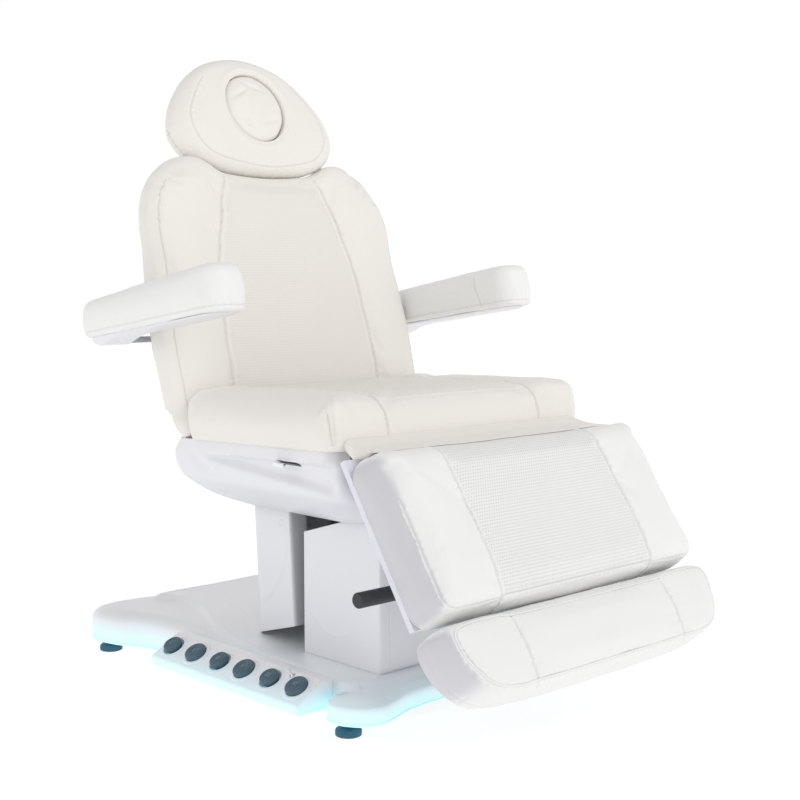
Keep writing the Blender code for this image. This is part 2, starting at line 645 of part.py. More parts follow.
def backrest():
    pivot = across(BACK_AXIS, 0.0)
    cushion = panel("back_cushion", BACK_HALF, BACK, -BACK_THICKNESS, 0.0, LEATHER, pivot)
    round_edges(cushion, 0.016, 2)
    notch = [BACK.at(-0.02, -0.030), BACK.at(0.062, -0.030), BACK.at(0.062, -0.10), BACK.at(-0.02, -0.10)]
    cut(cushion, side_prism("cushion_hinge_notch", notch, -0.40, 0.40, LEATHER))
    board_half = [(0.0, 0.066), (0.315, 0.066), (0.330, 0.200), (0.325, 0.320), (0.312, 0.430),
                  (0.285, 0.520),
                  (0.235, 0.570), (0.150, 0.570), (0.120, 0.545), (0.0, 0.545)]
    rear = -BACK_THICKNESS - GAP
    panel("back_board", board_half, BACK, rear - 0.010, rear, PLASTIC, pivot)

    bar = rear - 0.010 - GAP
    frame = rod("back_frame", across(BACK_AXIS, -0.240), across(BACK_AXIS, 0.240), 0.015, STEEL, pivot)
    rail = [BACK.at(0.002, -0.100), BACK.at(0.002, -0.062), BACK.at(0.034, -0.060), BACK.at(0.052, bar),
            BACK.at(0.450, bar), BACK.at(0.450, bar - 0.024), BACK.at(0.020, bar - 0.024)]
    for side in (-1, 1):
        weld(frame, side_prism(f"back_rail_{side}", rail, side * 0.22 - 0.012, side * 0.22 + 0.012,
                               STEEL))
    y, z = BACK_AXIS
    reach = Vector((sin(BACK_LEVER_ANGLE), -cos(BACK_LEVER_ANGLE)))
    side_way = Vector((reach.y, -reach.x))
    foot = Vector((y, z)) + (BACK_LEVER + 0.010) * reach
    lever = [Vector((y, z)) + 0.012 * side_way, Vector((y, z)) - 0.012 * side_way,
             foot - 0.009 * side_way, foot + 0.009 * side_way]
    weld(frame, side_prism("back_lever", [tuple(p) for p in lever], BACK_LEVER_X - 0.005,
                           BACK_LEVER_X + 0.005, STEEL))
    tip = Vector((y, z)) + BACK_LEVER * reach
    weld(frame, rod("back_lever_pin", (BACK_LEVER_X - 0.024, *tip), (BACK_LEVER_X + 0.002, *tip), 0.006,
                    STEEL))
    bore(frame, across(BACK_AXIS, -0.26), across(BACK_AXIS, 0.26), 0.0083)


def headrest():
    guide_low, guide_high = 0.455, 0.535
    back_of_board = -BACK_THICKNESS - 0.010 - 2 * GAP
    pivot = BACK.point(0.0, guide_low, ROD_DEPTH)
    guide = [BACK.at(guide_low, back_of_board), BACK.at(guide_high, back_of_board),
             BACK.at(guide_high, ROD_DEPTH - 0.014), BACK.at(guide_low, ROD_DEPTH - 0.014)]
    block_ob = side_prism("headrest_guide", guide, -0.085, 0.085, PLASTIC)
    round_edges(block_ob, 0.003, 2)
    top = BACK.local(*HEAD_AXIS)[0]
    fork = rod("headrest_fork", across(HEAD_AXIS, -0.075), across(HEAD_AXIS, 0.075), 0.010, CHROME, pivot)
    for side in (-1, 1):
        x = side * 0.060
        bore(block_ob, BACK.point(x, guide_low - 0.01, ROD_DEPTH),
             BACK.point(x, guide_high + 0.01, ROD_DEPTH), 0.0064)
        weld(fork, rod(f"fork_rod_{side}", BACK.point(x, 0.330, ROD_DEPTH),
                       BACK.point(x, top, ROD_DEPTH), 0.006, CHROME))

    head_pivot = across(HEAD_AXIS, 0.0)
    half = [(0.0, 0.0), (0.100, 0.006), (0.160, 0.023), (0.205, 0.048), (0.232, 0.085), (0.229, 0.130),
            (0.205, 0.182), (0.160, 0.235), (0.095, 0.273), (0.0, 0.287)]
    dense = []
    for i in range(len(half) - 1):
        a, b, c, d = (Vector(half[min(max(i + k - 1, 0), len(half) - 1)]) for k in range(4))
        for t in (0.0, 0.5):
            dense.append(0.5 * (2.0 * b + (c - a) * t + (2.0 * a - 5.0 * b + 4.0 * c - d) * t * t
                                + (3.0 * b - a - 3.0 * c + d) * t ** 3))
    dense.append(Vector(half[-1]))
    dense = [tuple(p) for p in dense]
    cushion = panel("headrest_cushion", dense, HEAD, -BACK_THICKNESS, 0.0, LEATHER, head_pivot)
    round_edges(cushion, 0.014, 2)
    board_half = [(x * 0.80, 0.030 + 0.80 * d) for x, d in half]
    board = panel("headrest_board", board_half, HEAD, -BACK_THICKNESS - BOARD, -BACK_THICKNESS - GAP,
                  PLASTIC, head_pivot)
    lug = [HEAD.at(0.040, -BACK_THICKNESS - BOARD + 0.004),
           HEAD.at(0.082, -BACK_THICKNESS - BOARD + 0.004),
           HEAD.at(0.074, -0.117), HEAD.at(0.048, -0.117)]
    for side in (-1, 1):
        weld(board, side_prism(f"head_lug_{side}", lug, side * 0.035 - 0.006, side * 0.035 + 0.006,
                               PLASTIC))
    bore(board, across(HEAD_AXIS, -0.05), across(HEAD_AXIS, 0.05), 0.0103)
    plug_centre = 0.155
    hole = ellipse_prism("face_hole", plug_centre, 0.0800, 0.0830, -0.12, 0.02)
    hole_board = ellipse_prism("face_hole_board", plug_centre, 0.0800, 0.0830, -0.12, 0.02)
    cut(cushion, hole)
    cut(board, hole_board)
    plug = ellipse_prism("face_hole_plug", plug_centre, 0.0785, 0.0815, -BACK_THICKNESS - 0.004, 0.004)
    plug.data.materials[0] = LEATHER
    round_edges(plug, 0.008, 2)


def ellipse_prism(name, centre, rx, rd, n0, n1, steps=32):
    turn = [2.0 * pi * k / steps for k in range(steps)]
    low = [HEAD.point(rx * cos(a), centre + rd * sin(a), n0) for a in turn]
    high = [HEAD.point(rx * cos(a), centre + rd * sin(a), n1) for a in turn]
    return prism(name, low, high, STEEL, across(HEAD_AXIS, 0.0), True)


def armrests():
    for side, sign in (("right", -1), ("left", 1)):
        pivot = across(ARM_AXIS, sign * 0.40)
        rod(f"arm_bracket_{side}", across(ARM_AXIS, sign * 0.2323), across(ARM_AXIS, sign * 0.440),
            0.010, STEEL, pivot)
        x0, x1 = sorted((sign * 0.368, sign * 0.446))
        profile = [ARM.at(0.012, -0.0005), ARM.at(0.455, -0.0005), ARM.at(0.445, -0.016),
                   ARM.at(0.400, -0.026),
                   ARM.at(0.060, -0.028), ARM.at(0.030, -0.020)]
        tray = side_prism(f"armrest_tray_{side}", profile, x0, x1, PLASTIC, pivot)
        round_edges(tray, 0.003, 2)
        weld(tray, rod(f"arm_boss_{side}", across(ARM_AXIS, x0 + 0.004), across(ARM_AXIS, x1 - 0.004),
                       0.022, PLASTIC))
        bore(tray, across(ARM_AXIS, sign * 0.35), across(ARM_AXIS, sign * 0.46), 0.0103)
        x0, x1 = sorted((sign * 0.357, sign * 0.457))
        outline = rounded_rectangle(0.050, 0.0, 0.475, 0.042)
        low = [ARM.point(sign * 0.407 + x, d, 0.0) for x, d in outline]
        high = [ARM.point(sign * 0.407 + x, d, 0.070) for x, d in outline]
        pad = prism(f"armrest_pad_{side}", low, high, LEATHER, pivot, True)
        round_edges(pad, 0.012, 2)


# ---- Leg rest --------------------------------------------------------------------------------
def leg_block(name, half, s0, s1, n0, n1, mat, pivot, edge=0.0):
    outline = [LEG.at(s0, n0), LEG.at(s1, n0), LEG.at(s1, n1), LEG.at(s0, n1)]
    ob = side_prism(name, outline, -half, half, mat, pivot)
    if edge:
        round_edges(ob, edge, 3)
    return ob


def leg_rest():
    pivot = across(LEG_AXIS, 0.0)
    leg_block("leg_board", LEG_HALF_WIDTH - 0.004, 0.0, 0.325, 0.0, BOARD, WOOD, pivot)
    leg_block("leg_cushion", LEG_HALF_WIDTH, -0.002, 0.328, BOARD + GAP, BOARD + CUSHION_THICKNESS,
              LEATHER, pivot, 0.018)
    frame = rod("leg_frame", across(LEG_AXIS, -0.250), across(LEG_AXIS, 0.250), 0.0095, STEEL, pivot)
    rail = [LEG.at(0.012, -0.020), LEG.at(0.012, -GAP), LEG.at(0.300, -GAP), LEG.at(0.300, -0.020)]
    for side in (-1, 1):
        weld(frame, side_prism(f"leg_rail_{side}", rail, side * 0.20 - 0.015, side * 0.20 + 0.015, STEEL))
    bore(frame, across(LEG_AXIS, -0.26), across(LEG_AXIS, 0.26), 0.0063)
    handle_s, handle_n = 0.236, -0.049
    strap = [LEG.at(handle_s - 0.014, handle_n - 0.012), LEG.at(handle_s - 0.014, -0.010),
             LEG.at(handle_s + 0.014, -0.010),
             LEG.at(handle_s + 0.014, handle_n - 0.012)]
    weld(frame, side_prism("handle_strap", strap, -0.2130, -0.2050, STEEL),
         rod("leg_handle", LEG.point(-0.380, handle_s, handle_n), LEG.point(-0.200, handle_s, handle_n),
             0.008, STEEL))
    grip_start = LEG.point(-0.285, handle_s, handle_n)
    grip = turned("leg_grip", [(0.0, 0.0), (0.0125, 0.0), (0.014, 0.003), (0.014, 0.108),
                               (0.0125, 0.110), (0.0, 0.110)],
                  grip_start, (-1, 0, 0), RUBBER, pivot)
    bore(grip, grip_start + Vector((0.01, 0, 0)), LEG.point(-0.3805, handle_s, handle_n), 0.0083)


def gap_flap():
    """Upholstered strip that closes the gap between seat and leg rest."""
    top = 0.536
    outline = [(-0.4665, top - 0.006), (-0.4665, top + 0.004), (-0.482, top + 0.002),
               (-0.500, top - 0.0065), LEG.at(-0.0055, 0.055),
               LEG.at(-0.0055, 0.035), LEG.at(-0.0080, 0.020), (-0.485, top - 0.016)]
    side_prism("gap_flap", outline, -0.325, 0.325, LEATHER, across(LEG_AXIS, 0.0))


FOOT_HALF = [(0.0, 0.345), (0.352, 0.345), (0.358, 0.360), (0.352, 0.400), (0.340, 0.432), (0.318, 0.462),
             (0.285, 0.482), (0.200, 0.490), (0.0, 0.492)]


def foot_pad():
    pivot = LEG.point(0.0, 0.345, -0.008)
    cushion = panel("foot_cushion", FOOT_HALF, LEG, BOARD + GAP, 0.098, LEATHER, pivot)
    round_edges(cushion, 0.014, 2)
    board_half = [(x * 0.97, 0.350 + 0.93 * (d - 0.345)) for x, d in FOOT_HALF]
    panel("foot_board", board_half, LEG, 0.0, BOARD, WOOD, pivot)
    slide = leg_block("foot_slide", 0.090, 0.100, 0.470, -0.0155, -GAP, STEEL, pivot)
    knob_base = LEG.point(0.0, 0.450, -0.0165)
    outward = Vector((0.0, -LEG.out[0], -LEG.out[1]))
    bore(slide, LEG.point(0.0, 0.450, -0.020), LEG.point(0.0, 0.450, -0.006), 0.0052)
    profile = [(0.0, -0.008), (0.0048, -0.008), (0.0048, 0.0), (0.011, 0.0005), (0.012, 0.012),
               (0.019, 0.020), (0.021, 0.030),
               (0.021, 0.048), (0.017, 0.054), (0.0, 0.055)]
    turned("foot_knob", profile, knob_base, outward, RUBBER)


def place_on_origin():
    for ob in bpy.context.scene.objects:
        ob.location.y += ORIGIN_SHIFT


base_beams()
levelling_feet()
cover_outline = base_cover()
led_strip(cover_outline)
foot_controls()
power_inlet()
lift_column()
lift_carriage()
tilt_drive()
front_column_cover()
rear_column_cover()
seat_frame()
seat_pan()
seat_cushion()
release_lever()
back_drive()
backrest()
headrest()
armrests()
leg_rest()
gap_flap()
foot_pad()
place_on_origin()
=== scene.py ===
"""Looks of the facial treatment bed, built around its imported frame.

Units are metres and +Z is up. The bed's head end is at +Y, its foot end at -Y, and the occupant's
right side is at -X. A Plane gives each cushion its own coordinates: x across the bed, s along the
cushion and n out of its face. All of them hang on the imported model's joint positions.
"""

import json
from math import atan, ceil, cos, pi, radians, sin, sqrt

import bmesh
import bpy
import numpy as np
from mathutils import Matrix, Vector, noise
from mathutils.bvhtree import BVHTree
from mathutils.geometry import delaunay_2d_cdt
from mathutils.kdtree import KDTree


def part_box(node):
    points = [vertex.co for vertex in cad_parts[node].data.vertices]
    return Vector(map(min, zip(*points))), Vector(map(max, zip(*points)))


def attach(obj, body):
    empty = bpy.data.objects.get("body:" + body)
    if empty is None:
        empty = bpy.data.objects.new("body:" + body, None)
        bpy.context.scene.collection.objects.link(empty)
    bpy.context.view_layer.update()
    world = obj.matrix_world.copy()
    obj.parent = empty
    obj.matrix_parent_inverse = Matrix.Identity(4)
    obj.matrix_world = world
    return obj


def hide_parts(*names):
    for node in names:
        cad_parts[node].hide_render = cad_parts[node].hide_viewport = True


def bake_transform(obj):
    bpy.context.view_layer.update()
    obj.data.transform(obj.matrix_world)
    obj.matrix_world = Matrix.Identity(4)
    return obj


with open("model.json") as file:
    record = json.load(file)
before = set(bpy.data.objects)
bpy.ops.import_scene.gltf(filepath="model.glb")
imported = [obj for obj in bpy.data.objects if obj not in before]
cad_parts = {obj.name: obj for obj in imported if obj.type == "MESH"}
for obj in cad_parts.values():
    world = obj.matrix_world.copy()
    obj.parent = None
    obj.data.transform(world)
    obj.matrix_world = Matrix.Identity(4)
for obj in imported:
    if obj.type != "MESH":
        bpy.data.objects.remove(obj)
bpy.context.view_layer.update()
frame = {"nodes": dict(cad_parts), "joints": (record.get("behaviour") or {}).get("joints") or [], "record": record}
JOINTS = {joint["name"]: joint for joint in frame["joints"]}


# ---- Places ----------------------------------------------------------------------------------
class Plane:
    """Side-view frame: along runs along a cushion and out points out of its face, both (y, z)."""

    def __init__(self, origin, along, out):
        self.origin = np.array(origin)
        self.along = np.array(along)
        self.out = np.array(out)

    def at(self, s, n):
        return tuple(self.origin + s * self.along + n * self.out)

    def point(self, x, s, n):
        return Vector((x, *self.at(s, n)))

    def line(self, places):
        """World points of a list of (x, s, n)."""
        return [tuple(self.point(*place)) for place in places]

    def points(self, x, s, n):
        yz = self.origin + np.outer(s, self.along) + np.outer(n, self.out)
        return np.column_stack([x, yz])

    def local(self, points):
        """Columns x, s and n of an array of world points."""
        yz = points[:, 1:] - self.origin
        return np.column_stack([points[:, 0], yz @ self.along, yz @ self.out])


def leaning(origin, recline):
    """Plane that stands up and leans back."""
    return Plane(origin, (sin(recline), cos(recline)), (-cos(recline), sin(recline)))


def rising(origin, slope):
    """Plane that runs towards the foot end and rises by the slope."""
    return Plane(origin, (-cos(slope), sin(slope)), (sin(slope), cos(slope)))


def joint_place(name):
    return Vector(JOINTS[name]["pos_m"])


BACK_AXIS = joint_place("back_recline")
LEG_AXIS = joint_place("leg_rest_raise")
CREASE_Y = BACK_AXIS.y - 0.060

BACK_RECLINE = radians(15.5)
HEAD_RECLINE = radians(21.5)
LEG_SLOPE = radians(57.0)
ARM_RISE = radians(8.3)
SEAT_RISE = atan(0.0293)

BACK = leaning((BACK_AXIS.y - 0.0685, BACK_AXIS.z), BACK_RECLINE)
HEAD = leaning(BACK.at(0.580, 0.0), HEAD_RECLINE)
LEG = rising((LEG_AXIS.y + 0.002, LEG_AXIS.z + 0.022), -LEG_SLOPE)
ARM = rising((CREASE_Y + 0.215, 0.716), ARM_RISE)
SEAT = rising((CREASE_Y - 0.006, 0.6052), SEAT_RISE)


# ---- Curves ----------------------------------------------------------------------------------
def even(points, step, closed=False):
    """The same line with evenly spaced points about step apart."""
    points = np.asarray(points, float)
    if closed:
        points = np.vstack([points, points[:1]])
    length = np.r_[0.0, np.cumsum(np.linalg.norm(np.diff(points, axis=0), axis=1))]
    count = max(2, int(ceil(length[-1] / step)) + (0 if closed else 1))
    wanted = np.linspace(0.0, length[-1], count, endpoint=not closed)
    return np.column_stack([np.interp(wanted, length, points[:, k]) for k in range(points.shape[1])])


def smooth(points, step, closed=False):
    """Evenly spaced points on the smooth curve through a few points."""
    p = np.asarray(points, float)
    count = len(p)
    spans = count if closed else count - 1
    parts = []
    for i in range(spans):
        if closed:
            a, b, c, d = (p[(i + k) % count] for k in (-1, 0, 1, 2))
        else:
            a, b, c, d = p[max(i - 1, 0)], p[i], p[i + 1], p[min(i + 2, count - 1)]
        t = np.linspace(0.0, 1.0, 12, endpoint=False)[:, None]
        parts.append(0.5 * (2 * b + (c - a) * t + (2 * a - 5 * b + 4 * c - d) * t ** 2
                            + (3 * b - a - 3 * c + d) * t ** 3))
    if not closed:
        parts.append(p[-1:])
    return even(np.vstack(parts), step, closed)


def mirrored(half):
    """Closed outline from its +X half, given from one end of the middle line to the other."""
    return half + [(-x, y) for x, y in reversed(half) if abs(x) > 1e-6]


def rounded_box(half, s0, s1, radius_start, radius_end, steps=8):
    """Rounded rectangle around x = 0 with its own corner radius at each end."""
    points = []
    for cx, cs, r, start in ((half - radius_end, s1 - radius_end, radius_end, 0),
                             (radius_end - half, s1 - radius_end, radius_end, 90),
                             (radius_start - half, s0 + radius_start, radius_start, 180),
                             (half - radius_start, s0 + radius_start, radius_start, 270)):
        for k in range(steps + 1):
            a = radians(start + 90.0 * k / steps)
            points.append((cx + r * cos(a), cs + r * sin(a)))
    return points


def outward(loop):
    """Unit normals of a closed 2-D loop, pointing out of it."""
    after = np.roll(loop, -1, axis=0) - np.roll(loop, 1, axis=0)
    normal = np.column_stack([after[:, 1], -after[:, 0]])
    normal /= np.linalg.norm(normal, axis=1)[:, None]
    x, y = loop[:, 0], loop[:, 1]
    area = np.sum(x * np.roll(y, -1) - np.roll(x, -1) * y)
    return normal if area > 0 else -normal


def inside(points, loop):
    """Which 2-D points lie inside a closed loop."""
    result = np.zeros(len(points), bool)
    x, y = points[:, 0], points[:, 1]
    for (x0, y0), (x1, y1) in zip(loop, np.roll(loop, -1, axis=0)):
        crosses = (y0 > y) != (y1 > y)
        with np.errstate(divide="ignore", invalid="ignore"):
            at = (x1 - x0) * (y - y0) / (y1 - y0) + x0
        result ^= crosses & (x < at)
    return result


def nearest(points, targets):
    """Distance from each point to the nearest target, and that target's index."""
    tree = KDTree(len(targets))
    for i, target in enumerate(targets):
        tree.insert((*target, 0.0)[:3], i)
    tree.balance()
    found = [tree.find((*p, 0.0)[:3]) for p in points]
    return np.array([f[2] for f in found]), np.array([f[1] for f in found])


def filled(loop, cell, holes=()):
    """Triangles that fill a closed loop around its holes: (points, triangles).
    The loop's own points come first, then those of the holes."""
    fixed = np.vstack([loop, *holes]) if holes else loop
    low, high = loop.min(axis=0), loop.max(axis=0)
    rows = np.arange(low[1], high[1], cell * 0.866)
    grid = [(x + (0.5 * cell if k % 2 else 0.0), y)
            for k, y in enumerate(rows) for x in np.arange(low[0], high[0], cell)]
    grid = np.array(grid)
    keep = inside(grid, loop)
    for hole in holes:
        keep &= ~inside(grid, hole)
    grid = grid[keep]
    grid = grid[nearest(grid, fixed)[0] > 0.6 * cell]
    edges = []
    start = 0
    for ring in (loop, *holes):
        edges += [(start + i, start + (i + 1) % len(ring)) for i in range(len(ring))]
        start += len(ring)
    points = [Vector(p) for p in np.vstack([fixed, grid])]
    verts, _, faces, *_ = delaunay_2d_cdt(points, edges, [], 0, 1e-7)
    verts = np.array([tuple(v) for v in verts])
    faces = np.array([f for f in faces if len(f) == 3])
    middle = verts[faces].mean(axis=1)
    keep = inside(middle, loop)
    for hole in holes:
        keep &= ~inside(middle, hole)
    return verts, faces[keep]


# ---- Meshes ----------------------------------------------------------------------------------
def linked(name, mesh):
    ob = bpy.data.objects.new(name, mesh)
    bpy.context.scene.collection.objects.link(ob)
    return ob


def new_object(name, verts, faces, mat=None, sharp=None):
    mesh = bpy.data.meshes.new(name)
    mesh.from_pydata([tuple(v) for v in verts], [], [tuple(int(i) for i in f) for f in faces])
    bm = bmesh.new()
    bm.from_mesh(mesh)
    bmesh.ops.remove_doubles(bm, verts=bm.verts, dist=1e-6)
    bmesh.ops.recalc_face_normals(bm, faces=bm.faces)
    bm.to_mesh(mesh)
    bm.free()
    mesh.shade_smooth()
    if sharp:
        mesh.set_sharp_from_angle(angle=radians(sharp))
    if mat:
        mesh.materials.append(mat)
    return linked(name, mesh)


def vectors(values, key):
    flat = np.empty(len(values) * 3, np.float32)
    values.foreach_get(key, flat)
    return flat.reshape(-1, 3).astype(float)


def positions(mesh):
    return vectors(mesh.vertices, "co")


def normals(mesh):
    return vectors(mesh.vertex_normals, "vector")


def set_positions(mesh, points):
    mesh.vertices.foreach_set("co", points.astype(np.float32).ravel())
    mesh.update()


def stored(mesh, name, kind, key, values):
    """Keeps one value per point for the materials."""
    mesh.attributes.new(name, kind, "POINT").data.foreach_set(key, values.astype(np.float32).ravel())


def surface_of(mesh):
    return BVHTree.FromPolygons([v.co for v in mesh.vertices], [p.vertices for p in mesh.polygons])


def baked(ob):
    """Applies the object's modifiers to its mesh."""
    graph = bpy.context.evaluated_depsgraph_get()
    mesh = bpy.data.meshes.new_from_object(ob.evaluated_get(graph))
    ob.modifiers.clear()
    old, ob.data = ob.data, mesh
    bpy.data.meshes.remove(old)
    return ob


def subdivided(ob):
    modifier = ob.modifiers.new("subdivision", "SUBSURF")
    modifier.levels = modifier.render_levels = 1
    return ob


def bevelled(ob, width, segments, angle):
    edge = ob.modifiers.new("edges", "BEVEL")
    edge.width = width
    edge.segments = segments
    edge.limit_method = "ANGLE"
    edge.angle_limit = radians(angle)
    return ob


def walled(ob, sharp, bevel=None):
    """Gives a thin sheet its wall, on the side its normals point away from."""
    shell = ob.modifiers.new("wall", "SOLIDIFY")
    shell.thickness = SHELL
    shell.offset = -1.0
    if bevel:
        bevelled(ob, bevel, 2, 50.0)
    baked(ob)
    ob.data.set_sharp_from_angle(angle=radians(sharp))


def joined(name, pieces):
    """One object from several meshes, each with its first material."""
    materials = list(dict.fromkeys(piece.data.materials[0] for piece in pieces))
    bm = bmesh.new()
    for piece in pieces:
        start = len(bm.faces)
        bm.from_mesh(piece.data)
        bm.faces.ensure_lookup_table()
        for face in bm.faces[start:]:
            face.material_index = materials.index(piece.data.materials[0])
    mesh = bpy.data.meshes.new(name)
    bm.to_mesh(mesh)
    bm.free()
    for material in materials:
        mesh.materials.append(material)
    for piece in pieces:
        bpy.data.objects.remove(piece)
    mesh.shade_smooth()
    mesh.set_sharp_from_angle(angle=radians(40.0))
    return linked(name, mesh)


def bridge(a, b, count, closed=True):
    """Faces between two rings that start at points a and b."""
    steps = count if closed else count - 1
    return [(a + i, a + (i + 1) % count, b + (i + 1) % count, b + i) for i in range(steps)]


def ring_faces(rings, count, closed=True, around=False):
    """Faces along a row of rings; closed rings close themselves, around joins the last to the first."""
    faces = []
    for ring in range(rings if around else rings - 1):
        faces += bridge(ring * count, (ring + 1) % rings * count, count, closed)
    return faces


def end_faces(rings, count):
    return [tuple(range(count)), tuple(range((rings - 1) * count, rings * count))]


def moved_on(faces, first):
    """The same faces for points that start at first."""
    return [tuple(int(i) + first for i in face) for face in faces]


def lathe(name, profile, centre, axis, mat, steps=64, sharp=35.0):
    """Solid of revolution from (radius, height) pairs, both ends on the axis."""
    turn = Vector((0.0, 0.0, 1.0)).rotation_difference(Vector(axis)).to_matrix()
    verts = []
    for radius, height in profile:
        for k in range(steps):
            a = 2.0 * pi * k / steps
            verts.append(Vector(centre) + turn @ Vector((radius * cos(a), radius * sin(a), height)))
    return new_object(name, verts, ring_faces(len(profile), steps), mat, sharp)


def tube(name, path, radius, mat, sides=12, closed=False):
    """Round tube along 3-D points."""
    path = [Vector(p) for p in path]
    count = len(path)
    verts = []
    normal = None
    for i, p in enumerate(path):
        before = path[i - 1] if closed or i else path[i]
        after = path[(i + 1) % count] if closed or i < count - 1 else path[i]
        tangent = (after - before).normalized()
        if normal is None:
            normal = tangent.orthogonal().normalized()
        normal = (normal - tangent * normal.dot(tangent)).normalized()
        side = tangent.cross(normal)
        for k in range(sides):
            a = 2.0 * pi * k / sides
            verts.append(p + radius * (cos(a) * normal + sin(a) * side))
    faces = ring_faces(count, sides, around=closed)
    if not closed:
        faces += end_faces(count, sides)
    return new_object(name, verts, faces, mat, 50.0)


# ---- Sewing ----------------------------------------------------------------------------------
class Seam:
    """A sewn line, crease or moulded groove that is pressed into a surface.

    depth is how deep it goes, or how far it stands out if it is negative. pucker is the height of
    the small gathers beside it, wave their spacing and reach how far they run from the line."""

    # shade is how much painted shade darkens the seam's line in the material.
    def __init__(self, points, depth=0.0022, width=0.0022, closed=False, pucker=0.0, wave=0.016,
                 reach=0.022, shade=1.0, curve=True):
        self.points = (smooth if curve else even)(points, SEAM_STEP, closed)
        self.depth, self.width, self.closed = depth, width, closed
        self.pucker, self.wave, self.reach, self.shade = pucker, wave, reach, shade


SEAM_STEP = 0.002        # spacing of a seam's points
# the darker line in a seam is painted shade
SEAM_SHADE = 0.0015      # half width of the darker line in a seam
FADE_POINTS = 15         # points over which an open seam fades at each end


def refine(ob, targets, reach):
    """Splits the edges that lie near the targets once."""
    bm = bmesh.new()
    bm.from_mesh(ob.data)
    middles = [tuple((e.verts[0].co + e.verts[1].co) / 2) for e in bm.edges]
    distance = nearest(middles, targets)[0]
    chosen = [e for e, d in zip(list(bm.edges), distance) if d < reach and e.calc_length() > 0.0018]
    bmesh.ops.subdivide_edges(bm, edges=chosen, cuts=1, use_grid_fill=True)
    bmesh.ops.triangulate(bm, faces=[f for f in bm.faces if len(f.verts) > 4])
    bm.to_mesh(ob.data)
    bm.free()


def sew(ob, seams, levels=(0.012, 0.006)):
    """Presses the seams into the object's surface. Returns them as they lie on it."""
    tree = surface_of(ob.data)
    laid = [np.array([tuple(tree.find_nearest(Vector(p))[0]) for p in seam.points]) for seam in seams]
    everything = np.vstack(laid)
    for reach in levels:
        refine(ob, everything, reach)
    mesh = ob.data
    points, out = positions(mesh), normals(mesh)
    shift = np.zeros(len(points))
    shade = np.zeros(len(points))
    for seam, line in zip(seams, laid):
        d, index = nearest(points, line)
        along = index * SEAM_STEP
        ends = np.ones(len(line))
        if not seam.closed:
            fade = min(FADE_POINTS, len(line) // 3)
            ends[:fade] = np.linspace(0.25, 1.0, fade)
            ends[len(line) - fade:] = np.linspace(1.0, 0.25, fade)
        strength = ends[index]
        shift -= seam.depth * strength * np.exp(-(d / seam.width) ** 2)
        shift += 0.22 * seam.depth * np.exp(-((d - 2.3 * seam.width) / (1.2 * seam.width)) ** 2)
        # painted shade: the darker line along each seam, stored for the materials
        shade = np.maximum(shade, seam.shade * np.exp(-(d / SEAM_SHADE) ** 2))
        if seam.pucker:
            jitter = np.array([noise.noise(Vector((a * 60.0, seam.wave * 900.0, 3.0))) for a in along])
            height = 0.65 + 0.7 * np.array([noise.noise(Vector((a * 35.0, 8.0, 1.0))) for a in along])
            wave = np.cos(2.0 * pi * along / seam.wave + 2.6 * jitter)
            beside = np.exp(-(d / seam.reach) ** 2) * (1.0 - np.exp(-(d / 0.004) ** 2))
            shift += seam.pucker * strength * height * wave * beside
    set_positions(mesh, points + out * shift[:, None])
    stored(mesh, "seam", "FLOAT", "value", shade)
    return laid


def stitches(name, ob, lines, mat, pitch=0.0055, length=0.0038, offset=0.0034, radius=0.00035):
    """Short threads beside the seams that ask for them: lines holds (points, side) pairs."""
    tree = surface_of(ob.data)
    verts, faces = [], []
    for line, side in lines:
        line = even(line, 0.001)
        step = max(1, int(round(pitch / 0.001)))
        half = int(length / 0.002)
        for i in range(half, len(line) - half - 1, step):
            a, b = Vector(line[i - half]), Vector(line[i + half])
            spot, up, *_ = tree.find_nearest((a + b) / 2)
            tangent = (b - a).normalized()
            across = up.cross(tangent).normalized() * side * offset
            start = tree.find_nearest(a + across)[0] + up * radius * 0.4
            end = tree.find_nearest(b + across)[0] + up * radius * 0.4
            middle = (start + end) / 2 + up * radius * 0.9
            wide = across.normalized() * radius
            first = len(verts)
            for centre, scale in ((start, 0.35), (middle, 1.0), (end, 0.35)):
                verts += [centre - wide * scale, centre + up * radius * scale, centre + wide * scale,
                          centre - up * radius * scale]
            faces += moved_on(ring_faces(3, 4) + end_faces(3, 4), first)
    return new_object(name, verts, faces, mat)


def waves(ob, height, size, seed=0.0):
    """Soft unevenness of a filled cover."""
    points, out = positions(ob.data), normals(ob.data)
    offset = Vector((seed, 2.0 * seed, 5.0))
    shift = np.array([noise.noise(Vector(p) / size + offset)
                      + 0.4 * noise.noise(Vector(p) * 2.6 / size + offset) for p in points])
    set_positions(ob.data, points + out * (height * shift)[:, None])


# ---- Cushions --------------------------------------------------------------------------------
def corner_limited(loop, r):
    """The same inset, reduced around tight corners so that the inset loop doesn't fold."""
    before, after = loop - np.roll(loop, 1, axis=0), np.roll(loop, -1, axis=0) - loop
    length = (np.linalg.norm(before, axis=1) + np.linalg.norm(after, axis=1)) / 2.0
    turn = before[:, 0] * after[:, 1] - before[:, 1] * after[:, 0]
    x, y = loop[:, 0], loop[:, 1]
    if np.sum(x * np.roll(y, -1) - np.roll(x, -1) * y) < 0:
        turn = -turn
    angle = np.maximum(turn / length ** 2, 1e-6)
    r = np.minimum(r, 0.90 * length / angle)
    for _ in range(30):
        for shift in (-1, 1):
            r = np.minimum(r, np.roll(r, shift) + 0.45 * length)
    return r


